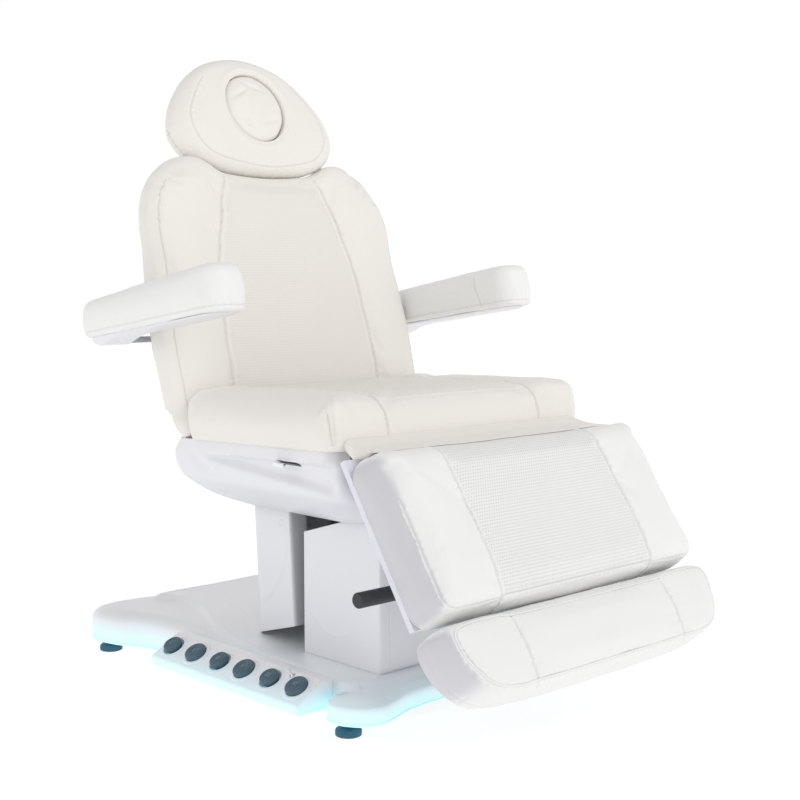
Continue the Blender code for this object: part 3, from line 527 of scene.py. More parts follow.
def cushion(name, plane, outline, radius, thickness, top=0.0, back_radius=0.010, bulge=0.004,
            crown=(0.006, 0.10), cell=0.008, hole=None, shift_x=0.0, shape=None, drop=None, taper=0.0):
    """Closed cover in plane coordinates: a crowned face, rounded edges, bulging sides and a flat back.

    radius(x, s) is how far in the face's edge starts to round, and drop(x, s) how deep the rounding goes,
    the same if it is left out. crown is the face's rise and how far in it builds up, and taper how much
    smaller the back is. shape(x, s, n) may bend the finished points and returns them."""
    loop = np.array(outline)
    normal = outward(loop)
    r = corner_limited(loop, np.array([radius(x, s) for x, s in loop]))
    deep = np.array([drop(x, s) for x, s in loop]) if drop else r
    slim = np.array([taper(x, s) for x, s in loop]) if callable(taper) else np.full(len(loop), taper)
    rings, heights, rise = [], [], []
    for k in range(7):
        a = radians(90.0 * k / 6)
        rings.append(loop - normal * (r * (1.0 - sin(a)))[:, None])
        heights.append(top - deep * (1.0 - cos(a)))
        rise.append(r * (1.0 - sin(a)))
    rb = back_radius
    for t in (0.2, 0.4, 0.6, 0.8):
        low = top - thickness + rb
        rings.append(loop + normal * (bulge * sin(pi * t) - slim * t * t)[:, None])
        heights.append((top - deep) * (1.0 - t) + low * t)
        rise.append(np.zeros(len(loop)))
    for k in range(4):
        a = radians(90.0 * k / 3)
        rings.append(loop - normal * (slim + rb * (1.0 - cos(a)))[:, None])
        heights.append(np.full(len(loop), top - thickness + rb * (1.0 - sin(a))))
        rise.append(np.zeros(len(loop)))
    count = len(loop)
    front, front_faces = filled(rings[0], cell, [hole] if hole is not None else [])
    back, back_faces = filled(rings[-1], 2.0 * cell, [hole] if hole is not None else [])

    d_front = nearest(front, loop)[0]
    build = lambda d: crown[0] * (1.0 - (1.0 - np.clip(d / crown[1], 0.0, 1.0)) ** 2)
    height_front = np.full(len(front), top) + build(d_front)
    height_front[:count] = heights[0] + build(rise[0])
    plan = np.vstack([front, *rings[1:-1], back])
    height = np.concatenate([height_front, *[h + build(d) for h, d in zip(heights[1:-1], rise[1:-1])],
                             np.full(len(back), top - thickness)])
    faces = [tuple(f) for f in front_faces]
    first = len(front)
    last = first + (len(rings) - 2) * count
    for k in range(len(rings) - 1):
        faces += bridge(0 if k == 0 else first + (k - 1) * count, first + k * count, count)
    faces += moved_on(back_faces, last)
    if hole is not None:
        start_f, start_b = count, last + count
        n = len(hole)
        levels = []
        for k in range(1, 7):
            plan = np.vstack([plan, hole])
            t = k / 7.0
            wall = height_front[start_f:start_f + n] * (1.0 - t) + (top - thickness) * t
            height = np.concatenate([height, wall])
            levels.append(len(plan) - n)
        chain = [start_f, *levels, start_b]
        for upper, lower in zip(chain, chain[1:]):
            faces += bridge(upper, lower, n)
    x, s, n = plan[:, 0], plan[:, 1], height
    if shape:
        x, s, n = shape(x, s, n)
    return new_object(name, plane.points(x + shift_x, s, n), faces)


def inflate(ob, plane, pressure, cap, held, frames=18):
    """Blows the cover up with a cloth simulation. held(x, s, n) says how firmly each point stays."""
    mesh = ob.data
    before = positions(mesh)
    x, s, n = plane.local(before).T
    if hasattr(held, "prepare"):
        held.prepare(ob)
    weight = np.clip(held(x, s, n), 0.0, 1.0)
    group = ob.vertex_groups.new(name="held")
    for level in range(1, 11):
        chosen = np.nonzero(np.round(weight * 10) == level)[0]
        if len(chosen):
            group.add([int(i) for i in chosen], level / 10.0, "REPLACE")
    cloth = ob.modifiers.new("cover", "CLOTH")
    settings = cloth.settings
    settings.quality = 4
    settings.mass = 0.3
    settings.tension_stiffness = 12.0
    settings.compression_stiffness = 12.0
    settings.shear_stiffness = 8.0
    settings.bending_stiffness = 1.0
    settings.air_damping = 3.0
    settings.use_pressure = True
    settings.uniform_pressure_force = pressure
    settings.vertex_group_mass = "held"
    settings.pin_stiffness = 0.8
    settings.effector_weights.gravity = 0.0
    cloth.point_cache.frame_start = 1
    cloth.point_cache.frame_end = frames
    scene = bpy.context.scene
    for number in range(1, frames + 1):
        scene.frame_set(number)
    graph = bpy.context.evaluated_depsgraph_get()
    after = positions(ob.evaluated_get(graph).data)
    scene.frame_set(1)
    ob.modifiers.clear()
    ob.vertex_groups.clear()
    if len(after) != len(before):
        return
    move = after - before
    length = np.linalg.norm(move, axis=1)
    limit = np.minimum(1.0, cap / np.maximum(length, 1e-9))
    set_positions(mesh, before + move * limit[:, None])


def pattern(ob, plane, mask=lambda x, s, n: 0.0 * x):
    """Stores x, s and the perforated area's mask for the leatherette."""
    x, s, n = plane.local(positions(ob.data)).T
    values = np.column_stack([x, s, np.clip(mask(x, s, n), 0.0, 1.0)])
    stored(ob.data, "panel", "FLOAT_VECTOR", "vector", values)


def step(value, edge, soft):
    """0 below edge, 1 above edge + soft."""
    t = np.clip((value - edge) / soft, 0.0, 1.0)
    return t * t * (3.0 - 2.0 * t)


def mount(ob, body, slot, *nodes):
    """Puts a piece on its body and in the place of the CAD nodes it stands for, which it hides. slot is not used.
    """
    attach(ob, body)
    for node in nodes:
        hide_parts(node)


def finish_pad(ob, nodes, body, mat):
    subdivided(ob)
    ob.data.materials.clear()
    ob.data.materials.append(mat)
    ob.data.shade_smooth()
    mount(ob, body, "upholstery", *nodes)


def sew_threads(ob, name, laid, body):
    """Stitches on both sides of the first two seams."""
    thread = stitches(name, ob, [(laid[k], side) for k in (0, 1) for side in (-1, 1)], THREAD)
    mount(thread, body, "upholstery")


# ---- Materials -------------------------------------------------------------------------------
class Graph:
    """Short way to write a material's nodes."""

    def __init__(self, name):
        self.material = bpy.data.materials.new(name)
        self.material.use_nodes = True
        self.tree = self.material.node_tree
        self.shader = self.tree.nodes["Principled BSDF"]

    def node(self, kind, values=None, **settings):
        node = self.tree.nodes.new(kind)
        for key, value in settings.items():
            setattr(node, key, value)
        for key, value in (values or {}).items():
            self.fill(node, key, value)
        return node

    def math(self, operation, a, b=0.0):
        return self.node("ShaderNodeMath", {0: a, 1: b}, operation=operation).outputs[0]

    def mix(self, factor, a, b):
        return self.node("ShaderNodeMix", {0: factor, 6: a, 7: b}, data_type="RGBA").outputs[2]

    def place(self):
        return self.node("ShaderNodeTexCoord").outputs["Object"]

    def noise(self, scale, detail=2.0):
        values = {"Vector": self.place(), "Scale": scale, "Detail": detail}
        return self.node("ShaderNodeTexNoise", values).outputs[0]

    def fill(self, node, key, value):
        if hasattr(value, "is_output"):
            self.tree.links.new(value, node.inputs[key])
        else:
            node.inputs[key].default_value = value

    def set(self, key, value):
        self.fill(self.shader, key, value)

    def tint(self, base, scale, low, high, detail=2.0):
        """Base colour that varies between low and high times itself."""
        shades = [colour(*[min(1.0, c * part) for c in base]) for part in (low, high)]
        return self.mix(self.noise(scale, detail), *shades)

    def surface(self, rough, rough_scale, spread, relief, strength, depth):
        """Uneven roughness, and a bump from relief."""
        uneven = self.math("MULTIPLY", self.noise(rough_scale), spread)
        self.set("Roughness", self.math("ADD", uneven, rough))
        bump = self.node("ShaderNodeBump", {"Strength": strength, "Distance": depth, "Height": relief})
        self.set("Normal", bump.outputs[0])

    def attribute(self, name, output="Fac"):
        return self.node("ShaderNodeAttribute", attribute_name=name).outputs[output]

    def remap(self, value, start, end, low=0.0, high=1.0):
        return self.node("ShaderNodeMapRange", {0: value, 1: start, 2: end, 3: low, 4: high}).outputs[0]


def colour(*rgb):
    return (*rgb, 1.0)


DOT_PITCH = 0.0062
# greyer painted shade for the side faces of the leg and foot covers
SIDE_SHADE_TONE = (0.615, 0.612, 0.648)
# tint and light of the painted LED glow on the base plastic
LIT_PLASTIC, LIGHT = (0.56, 0.92, 1.0), (0.42, 0.90, 1.0)


def leatherette(name, base, shadow, dots=0.20):
    """Matt leatherette with a fine grain, painted shade along the seams and rows of small perforations."""
    g = Graph(name)
    tone = g.tint(base, 7.0, 0.975, 1.015, 3.0)
    # painted shade: the seam lines are darkened towards the shadow colour
    tone = g.mix(g.math("MULTIPLY", g.attribute("seam"), 0.55), tone, colour(*shadow))
    # painted shade: side faces that face ±X turn greyer
    tone = g.mix(g.attribute("band"), tone, colour(*SIDE_SHADE_TONE))
    grain = g.node("ShaderNodeTexVoronoi", {"Vector": g.place(), "Scale": 620.0}, feature="F1").outputs[0]
    relief = g.math("ADD", g.math("MULTIPLY", grain, 0.7), g.math("MULTIPLY", g.noise(1500.0), 0.3))
    split = g.node("ShaderNodeSeparateXYZ", {0: g.attribute("panel", "Vector")})
    row = g.math("DIVIDE", split.outputs["Y"], DOT_PITCH)
    odd = g.math("MULTIPLY", g.math("MODULO", g.math("FLOOR", row), 2.0), 0.5)
    column = g.math("ADD", g.math("DIVIDE", split.outputs["X"], DOT_PITCH), odd)
    dx, dy = (g.math("SUBTRACT", g.math("FRACT", value), 0.5) for value in (column, row))
    reach = g.math("SQRT", g.math("ADD", g.math("MULTIPLY", dx, dx), g.math("MULTIPLY", dy, dy)))
    panel = g.remap(split.outputs["Z"], 0.45, 0.55)
    hole = g.math("MULTIPLY", g.remap(reach, 0.12, 0.23, 1.0, 0.0), panel)
    tone = g.mix(g.math("MULTIPLY", hole, dots), tone, colour(*[c * 0.62 for c in shadow]))
    tone = g.mix(g.math("MULTIPLY", panel, 0.09), tone, colour(*shadow))
    g.set("Base Color", tone)
    g.surface(0.42, 40.0, 0.10, g.math("SUBTRACT", relief, g.math("MULTIPLY", hole, 1.6)), 0.30, 0.0006)
    for key, value in (("Specular IOR Level", 0.35), ("Sheen Weight", 0.08), ("Sheen Roughness", 0.5)):
        g.set(key, value)
    return g.material


def moulded(name, base, roughness=0.34, glow=None):
    """Moulded plastic with a faint texture. glow gives (low z, high z) of the painted light below its edge: the
    LED strip's cyan light painted onto the plastic as colour and emission.
    """
    g = Graph(name)
    tone = g.tint(base, 5.0, 0.985, 1.01)
    g.surface(roughness, 25.0, 0.08, g.noise(900.0, 3.0), 0.05, 0.0004)
    g.set("Coat Weight", 0.12)
    g.set("Coat Roughness", 0.25)
    if glow:
        # painted light: cyan tint and emission that fade with height, standing in for the LED strip's light
        height = g.node("ShaderNodeSeparateXYZ", {0: g.place()}).outputs["Z"]
        uneven = g.math("MULTIPLY", g.math("SUBTRACT", g.noise(9.0), 0.5), 0.012)
        near = g.math("POWER", g.remap(g.math("ADD", height, uneven), *glow, 1.0, 0.0), 1.4)
        tone = g.mix(g.math("MULTIPLY", near, 0.75), tone, colour(*LIT_PLASTIC))
        g.set("Emission Color", colour(*LIGHT))
        g.set("Emission Strength", g.math("MULTIPLY", near, 0.30))
    g.set("Base Color", tone)
    return g.material


def metal(name, base, roughness, texture=0.1):
    g = Graph(name)
    g.set("Base Color", g.tint(base, 30.0, 0.93, 1.0))
    g.set("Metallic", 1.0)
    g.surface(roughness, 120.0, 0.08, g.noise(700.0), texture, 0.0003)
    return g.material


def rubber(name, base, roughness=0.55, texture=0.25, scale=450.0):
    g = Graph(name)
    g.set("Base Color", g.tint(base, 18.0, 0.85, 1.15))
    g.surface(roughness, 60.0, 0.15, g.noise(scale, 3.0), texture, 0.0005)
    return g.material


def glowing(name, rgb, strength):
    g = Graph(name)
    g.set("Base Color", colour(*rgb))
    g.set("Emission Color", colour(*rgb))
    g.set("Emission Strength", g.math("MULTIPLY", g.math("ADD", g.noise(60.0), 0.5), strength))
    return g.material


CREAM = leatherette("leatherette_cream", (0.835, 0.808, 0.765), (0.52, 0.47, 0.41))
WHITE_HIDE = leatherette("leatherette_white", (0.845, 0.842, 0.838), (0.50, 0.49, 0.48), 0.50)
THREAD = rubber("sewing_thread", (0.74, 0.71, 0.66), 0.6, 0.3, 2500.0)
PLASTIC = moulded("white_plastic", (0.80, 0.80, 0.83))
BOARD = moulded("board_laminate", (0.76, 0.76, 0.84), 0.45)
# painted light: the base's lower walls and control bar glow cyan as if lit by the LED strip
BASE_PLASTIC = moulded("base_plastic", (0.87, 0.87, 0.89), glow=(0.030, 0.094))
STEEL = metal("painted_steel", (0.50, 0.51, 0.53), 0.42)
CHROME = metal("chrome_plate", (0.86, 0.86, 0.88), 0.08, 0.02)
RUBBER = rubber("black_rubber", (0.030, 0.032, 0.036))
FOOT_RUBBER = rubber("foot_rubber", (0.018, 0.10, 0.15), 0.45)
SLATE = rubber("button_slate", (0.062, 0.115, 0.155), 0.38, 0.15)
MARK = rubber("button_mark", (0.20, 0.30, 0.36), 0.40, 0.10)
MOTOR = rubber("motor_housing", (0.045, 0.045, 0.05), 0.45)
LED = glowing("led_light", (0.45, 0.93, 1.0), 1.4)

SLOT_MATERIALS = {"upholstery": CREAM, "white_plastic": PLASTIC, "painted_steel": STEEL, "chrome": CHROME,
                  "rubber": RUBBER, "button_blue": SLATE, "motor_black": MOTOR, "led": LED, "board": BOARD}
for part in frame["record"]["subparts"]:
    slots = frame["nodes"][part["node"]].data.materials
    slots.clear()
    slots.append(SLOT_MATERIALS[part["material_slot"]])


# ---- Back cushion ----------------------------------------------------------------------------
BACK_HALF = [(0.0, 0.0), (0.300, 0.0), (0.336, 0.010), (0.350, 0.050), (0.356, 0.200), (0.350, 0.320),
             (0.338, 0.440), (0.318, 0.520), (0.285, 0.566), (0.240, 0.594), (0.200, 0.600), (0.172, 0.592),
             (0.142, 0.577), (0.100, 0.567), (0.0, 0.562)]
BACK_SEAM = [(0.203, 0.004), (0.206, 0.10), (0.204, 0.188), (0.199, 0.264), (0.190, 0.355), (0.175, 0.42),
             (0.150, 0.509), (0.125, 0.575)]
BACK_THICKNESS = 0.075
HINGE_NOTCH = (0.064, -0.029)      # s below it, and the highest n that the hinge tube leaves free


def loop_at(plane, loop, n):
    return plane.points(loop[:, 0], loop[:, 1], np.full(len(loop), n))


def line_at(plane, line, n, sign):
    return plane.line([(sign * x, s, n) for x, s in line])


def both_sides(plane, x, line):
    """The same line of (s, n) at -x and at x."""
    return [np.array(plane.line([(sign * x, s, n) for s, n in line])) for sign in (-1, 1)]


def opened(loop):
    """Starts a loop with a gap in it at the gap."""
    gap = int(np.argmax(np.linalg.norm(np.roll(loop, -1, axis=0) - loop, axis=1))) + 1
    return np.roll(loop, -gap, axis=0)


def seam_x(line, s):
    """x of a seam line at each s."""
    line = np.array(line)
    return np.interp(s, line[:, 1], line[:, 0])


def make_back():
    loop = smooth(mirrored(BACK_HALF), 0.008, closed=True)
    fuller = step(loop[:, 1], 0.36, 0.12)
    loop = loop + outward(loop) * (0.0115 * fuller)[:, None]

    def radius(x, s):
        return 0.018 if s < 0.03 else 0.027

    def shape(x, s, n):
        n = np.where(s < HINGE_NOTCH[0], np.maximum(n, HINGE_NOTCH[1]), n)
        wing = np.clip((np.abs(x) - seam_x(BACK_SEAM, s)) / 0.14, 0.0, 1.0)
        front = step(n, -0.02, 0.015)
        return x, s, n + front * (0.005 * np.sin(pi * wing) - 0.003 * (1.0 - step(wing, 0.0, 0.2)))

    ob = cushion("back_cover", BACK, loop, radius, BACK_THICKNESS, crown=(0.007, 0.12), back_radius=0.012,
                 shape=shape, drop=lambda x, s: 0.018, taper=lambda x, s: 0.016 + 0.012 * float(s > 0.36))
    seams = [np.array(line_at(BACK, BACK_SEAM, 0.0, sign)) for sign in (-1, 1)]
    inflate(ob, BACK, 4.0, 0.007, holder(seams, -0.045))
    rim = loop - outward(loop) * 0.027
    sides = rim[(rim[:, 1] > 0.03) & (rim[:, 1] < 0.545) & (np.abs(rim[:, 0]) > 0.22)]
    edges = [sides[np.sign(sides[:, 0]) == sign] for sign in (-1, 1)]
    edges = [line[np.argsort(line[:, 1])] for line in edges]
    panel = [Seam(line_at(BACK, BACK_SEAM, 0.006, sign), 0.0024, 0.0024, pucker=0.0008, wave=0.021,
                  shade=0.6) for sign in (-1, 1)]
    edge = [Seam(loop_at(BACK, line, 0.000), 0.0012, 0.0020, pucker=0.0007, wave=0.017, curve=False)
            for line in edges]
    around = Seam(loop_at(BACK, loop, -0.060), 0.0020, 0.0022, closed=True, pucker=0.0007, wave=0.015,
                  curve=False)
    laid = sew(ob, [*panel, *edge, around])
    waves(ob, 0.0012, 0.11, 3.0)
    pattern(ob, BACK, lambda x, s, n: step(seam_x(BACK_SEAM, s) - np.abs(x), 0.010, 0.004)
            * step(n, -0.012, 0.004) * step(s, 0.03, 0.004) * step(0.550 - s, 0.0, 0.004))
    finish_pad(ob, ["back_cushion"], "backrest", CREAM)
    sew_threads(ob, "back_stitches", laid, "backrest")


def holder(lines, back_n, strength=0.85, reach=0.012):
    """Holds the cover's back, and its seams more loosely, while it is blown up."""
    def held(x, s, n):
        return np.where(n < back_n, 1.0, held.seams)

    def prepare(ob):
        d = nearest(positions(ob.data), np.vstack(lines))[0]
        held.seams = strength * np.exp(-(d / reach) ** 2)
    held.prepare = prepare
    return held


# ---- Headrest --------------------------------------------------------------------------------
HEAD_HALF = [(0.0, 0.0), (0.100, 0.006), (0.157, 0.021), (0.200, 0.046), (0.225, 0.084), (0.222, 0.126),
             (0.197, 0.178), (0.149, 0.232), (0.086, 0.272), (0.0, 0.289)]
FACE_HOLE = (0.155, 0.0800, 0.0830)      # centre s, half width, half height
PLUG = (0.155, 0.0794, 0.0824)


def ellipse(centre, rx, rs, count):
    a = np.linspace(0.0, 2.0 * pi, count, endpoint=False)
    return np.column_stack([rx * np.cos(a), centre + rs * np.sin(a)])


HEAD_RIM = [(0.0, 0.013), (0.102, 0.026), (0.150, 0.044), (0.178, 0.078), (0.184, 0.113), (0.174, 0.149),
            (0.130, 0.214), (0.080, 0.244), (0.0, 0.258)]


def make_headrest():
    loop = smooth(mirrored(HEAD_HALF), 0.007, closed=True)
    rim = smooth(mirrored(HEAD_RIM), 0.004, closed=True)
    hole = ellipse(*FACE_HOLE, 64)
    inset = nearest(loop, rim)[0]

    def radius(x, s):
        return float(inset[nearest(np.array([[x, s]]), loop)[1][0]]) * 0.97

    ob = cushion("headrest_cover", HEAD, loop, radius, BACK_THICKNESS, crown=(0.012, 0.10), cell=0.007,
                 hole=hole, drop=lambda x, s: 0.030 - 0.012 * float(s < 0.03), bulge=0.002,
                 taper=lambda x, s: 0.022 + 0.026 * step(s, 0.03, 0.12), back_radius=0.008)
    inflate(ob, HEAD, 4.0, 0.004, holder([loop_at(HEAD, rim, 0.0), loop_at(HEAD, hole, 0.004)], -0.045))
    side = [[(sign * (0.226 + 0.4 * (n + 0.026)), 0.093, n) for n in (-0.026, -0.044, -0.062)]
            for sign in (-1, 1)]
    low = loop[loop[:, 1] < 0.10]
    low = low[np.argsort(low[:, 0])]
    rim = opened(rim[rim[:, 1] < 0.222])
    collar_line = ellipse(FACE_HOLE[0], 0.094, 0.097, 80)
    sew(ob, [Seam(loop_at(HEAD, rim, 0.003), 0.0013, 0.0020, pucker=0.0008, wave=0.017, curve=False,
                  shade=0.8),
             Seam(loop_at(HEAD, low, -0.030), 0.0018, 0.0022, pucker=0.0018, wave=0.013, curve=False),
             Seam(loop_at(HEAD, collar_line, 0.010), -0.0014, 0.0060, closed=True, curve=False, shade=0.0)]
        + [Seam(HEAD.line(line), 0.0024, 0.0026, pucker=0.0018, wave=0.012) for line in side])
    waves(ob, 0.0009, 0.09, 7.0)
    pattern(ob, HEAD)
    finish_pad(ob, ["headrest_cushion"], "headrest", CREAM)

    half = [(0.80 * x, 0.155 + 0.78 * (s - 0.155)) for x, s in HEAD_HALF]
    outline = smooth(mirrored(half), 0.008, closed=True)
    board = cushion("headrest_back", HEAD, outline, lambda x, s: 0.003, 0.0118, top=-0.0752,
                    crown=(0.0, 0.05), back_radius=0.005, bulge=0.0, cell=0.012)
    board.data.materials.append(PLASTIC)
    mount(board, "headrest", "white_plastic", "headrest_board")

    plug = cushion("plug_cover", HEAD, ellipse(*PLUG, 72), lambda x, s: 0.010, 0.082, top=0.006,
                   crown=(0.013, 0.075), cell=0.006, bulge=0.0)
    inflate(plug, HEAD, 4.0, 0.003, lambda x, s, n: np.where(n < -0.008, 1.0, 0.0))
    folds = [Seam(HEAD.line([(x0 + t * dx, s0 + t * ds, 0.012) for t in (0.0, 0.5, 1.0)]), 0.0030, 0.0050,
                  shade=0.0)
             for x0, s0, dx, ds in ((-0.058, 0.175, 0.040, 0.022), (0.010, 0.118, 0.048, 0.012),
                                    (-0.020, 0.212, 0.046, -0.016), (-0.045, 0.125, 0.025, -0.020))]
    sew(plug, folds)
    waves(plug, 0.0016, 0.05, 11.0)
    pattern(plug, HEAD)
    finish_pad(plug, ["face_hole_plug"], "plug", CREAM)


# ---- Seat ------------------------------------------------------------------------------------
SEAT_HALF = 0.349
SEAT_REAR, SEAT_FRONT = -0.008, 0.458
SEAT_THICKNESS = 0.092
PANEL_X = 0.213


def make_seat():
    loop = even(rounded_box(SEAT_HALF, SEAT_REAR, SEAT_FRONT, 0.030, 0.030), 0.008, closed=True)

    def radius(x, s):
        return 0.030 + 0.020 * step(s, 0.40, 0.05) + 0.006 * step(0.03 - s, 0.0, 0.02)

    def shape(x, s, n):
        lean = np.clip(-n, 0.0, SEAT_THICKNESS) * 0.19 * (1.0 - step(s, 0.0, 0.05))
        wing = np.clip((np.abs(x) - PANEL_X) / (SEAT_HALF - PANEL_X), 0.0, 1.0)
        top = step(n, -0.03, 0.02)
        dip = top * (0.004 * np.sin(pi * wing) - 0.002 * (1.0 - step(wing, 0.0, 0.15)))
        return x, s + lean, n + dip

    ob = cushion("seat_cover", SEAT, loop, radius, SEAT_THICKNESS, crown=(0.004, 0.09), shape=shape,
                 bulge=0.003, back_radius=0.007)
    side = both_sides(SEAT, PANEL_X, SEAT_SEAM)
    inflate(ob, SEAT, 4.0, 0.006, holder(side, -0.070))
    corner = [[(sign * 0.338, 0.436, -0.022), (sign * 0.344, 0.446, -0.045), (sign * 0.343, 0.452, -0.080)]
              for sign in (-1, 1)]
    cross = [(x, 0.432 + 0.004 * (x / SEAT_HALF) ** 2, 0.0) for x in np.linspace(-0.322, 0.322, 15)]
    pieces = [Seam(line, 0.0026, 0.0024, pucker=0.0008, wave=0.020) for line in side]
    pieces.append(Seam(SEAT.line(cross), 0.0010, 0.0022, pucker=0.0008, wave=0.019, shade=0.25))
    for line in corner:
        second = [(x, s + 0.012, n) for x, s, n in line]
        pieces += [Seam(SEAT.line(line), 0.0030, 0.0024, pucker=0.0030, wave=0.013, reach=0.030),
                   Seam(SEAT.line(second), 0.0016, 0.0020, pucker=0.0010, wave=0.012, shade=0.5)]
    laid = sew(ob, pieces)
    waves(ob, 0.0012, 0.12, 17.0)
    pattern(ob, SEAT, lambda x, s, n: step(PANEL_X - np.abs(x), 0.010, 0.004) * step(n, -0.020, 0.006)
            * step(0.424 - s, 0.0, 0.004))
    finish_pad(ob, ["seat_cushion"], "seat", CREAM)
    sew_threads(ob, "seat_stitches", laid, "seat")


SEAT_SEAM = [(0.010, 0.002), (0.15, 0.002), (0.30, 0.002), (0.40, 0.001), (0.435, -0.008), (0.453, -0.028),
             (0.459, -0.055), (0.458, -0.082)]


# ---- Leg rest --------------------------------------------------------------------------------
LEG_HALF = 0.360
LEG_TOP, LEG_END = 0.015, 0.331
LEG_FACE, LEG_BACK = 0.105, 0.0125
LEG_SEAM = [(0.016, 0.030), (0.017, LEG_FACE - 0.050), (0.031, LEG_FACE - 0.020), (0.054, LEG_FACE - 0.004),
            (0.08, LEG_FACE), (0.15, LEG_FACE), (0.30, LEG_FACE), (0.318, LEG_FACE - 0.006),
            (0.327, LEG_FACE - 0.022), (0.329, 0.060), (0.328, 0.026)]


def wings(x, n, face, half, rise, sink):
    """Wing crown on both sides of the centre panel, for points near the face."""
    wing = np.clip((np.abs(x) - PANEL_X) / (half - PANEL_X), 0.0, 1.0)
    top = step(n, face - 0.03, 0.02)
    return top * (rise * np.sin(pi * wing) ** 0.8 - sink * (1.0 - step(wing, 0.0, 0.12)))


def make_leg():
    loop = even(rounded_box(LEG_HALF, LEG_TOP, LEG_END, 0.036, 0.034), 0.008, closed=True)

    def near_top(s):
        return step(0.11 - s, 0.0, 0.09)

    ob = cushion("leg_cover", LEG, loop, lambda x, s: 0.024 + 0.022 * near_top(s), LEG_FACE - LEG_BACK,
                 top=LEG_FACE, crown=(0.003, 0.07), back_radius=0.006,
                 drop=lambda x, s: 0.024 + 0.028 * near_top(s),
                 shape=lambda x, s, n: (x, s, n + wings(x, n, LEG_FACE, LEG_HALF, 0.007, 0.003)))
    side = both_sides(LEG, PANEL_X, LEG_SEAM)
    inflate(ob, LEG, 4.0, 0.005, holder(side, 0.035))
    rim = loop - outward(loop) * 0.007
    rim = opened(rim[rim[:, 1] > 0.115])
    panel = [Seam(line, 0.0032, 0.0026, pucker=0.0009, wave=0.020, shade=0.45) for line in side]
    edge = Seam(loop_at(LEG, rim, LEG_FACE - 0.006), 0.0011, 0.0018, pucker=0.0009, wave=0.014,
                curve=False, shade=0.7)
    around = Seam(loop_at(LEG, loop + outward(loop) * 0.003, 0.022), 0.0014, 0.0020, closed=True,
                  pucker=0.0006, wave=0.016, curve=False, shade=0.5)
    laid = sew(ob, [*panel, edge, around])
    waves(ob, 0.0012, 0.11, 23.0)
    pattern(ob, LEG, lambda x, s, n: step(PANEL_X - np.abs(x), 0.006, 0.004)
            * step(n, LEG_FACE - 0.050, 0.006) * step(0.322 - s, 0.0, 0.004))
    # painted shade on the side faces
    band(ob, LEG_HALF - 0.018)
    finish_pad(ob, ["leg_cushion"], "leg_rest", WHITE_HIDE)
    sew_threads(ob, "leg_stitches", laid, "leg_rest")


def band(ob, edge):
    """Marks the side faces of a cover that face ±X, beyond edge on both sides, for a greyer painted shade."""
    facing, x = np.abs(normals(ob.data)[:, 0]), np.abs(positions(ob.data)[:, 0])
    stored(ob.data, "band", "FLOAT", "value", step(facing, 0.55, 0.30) * step(x, edge, 0.010))


# ---- Foot pad --------------------------------------------------------------------------------
FOOT_TOP = 0.3455
FOOT_HALF = [(0.0, FOOT_TOP), (0.30, FOOT_TOP), (0.335, 0.3457), (0.351, 0.3480), (0.362, 0.3560),
             (0.367, 0.3700), (0.364, 0.400), (0.352, 0.430), (0.330, 0.458), (0.296, 0.477),
             (0.205, 0.487), (0.0, 0.489)]
FOOT_FACE, FOOT_BACK = 0.098, 0.0005
PIPING_INSET = 0.013


def make_foot():
    loop = smooth(mirrored(FOOT_HALF), 0.008, closed=True)
    loop[:, 1] = np.maximum(loop[:, 1], FOOT_TOP)
    loop = even(loop, 0.008, closed=True)
    ob = cushion("foot_cover", LEG, loop, lambda x, s: 0.018, FOOT_FACE - FOOT_BACK, top=FOOT_FACE,
                 crown=(0.006, 0.06), back_radius=0.008,
                 shape=lambda x, s, n: (x, s, n + wings(x, n, FOOT_FACE, 0.350, 0.005, 0.002)))
    seam = [(FOOT_TOP, FOOT_FACE - 0.016), (0.355, FOOT_FACE - 0.003), (0.37, FOOT_FACE), (0.45, FOOT_FACE),
            (0.478, FOOT_FACE - 0.004), (0.489, FOOT_FACE - 0.014)]
    side = both_sides(LEG, 0.212, seam)
    inflate(ob, LEG, 4.0, 0.005, holder(side, 0.045))
    rim = loop - outward(loop) * PIPING_INSET
    panel = [Seam(line, 0.0024, 0.0024, pucker=0.0011, wave=0.017, shade=0.5) for line in side]
    piping = Seam(loop_at(LEG, rim, FOOT_FACE - 0.003), 0.0012, 0.0022, closed=True, pucker=0.0010,
                  wave=0.014, reach=0.016, curve=False)
    around = Seam(loop_at(LEG, loop + outward(loop) * 0.003, 0.030), 0.0012, 0.0020, closed=True,
                  pucker=0.0006, wave=0.013, curve=False, shade=0.5)
    laid = sew(ob, [*panel, piping, around])
    waves(ob, 0.0012, 0.08, 29.0)
    pattern(ob, LEG)
    # painted shade on the side faces
    band(ob, 0.29)
    finish_pad(ob, ["foot_cushion", "foot_board"], "foot_pad", WHITE_HIDE)
    cord = tube("foot_piping", even(laid[2], 0.006, closed=True), 0.0018, WHITE_HIDE, 8, closed=True)
    mount(cord, "foot_pad", "upholstery")


KNOB_S, KNOB_N, KNOB_FLUTES = 0.450, -0.0165, 9


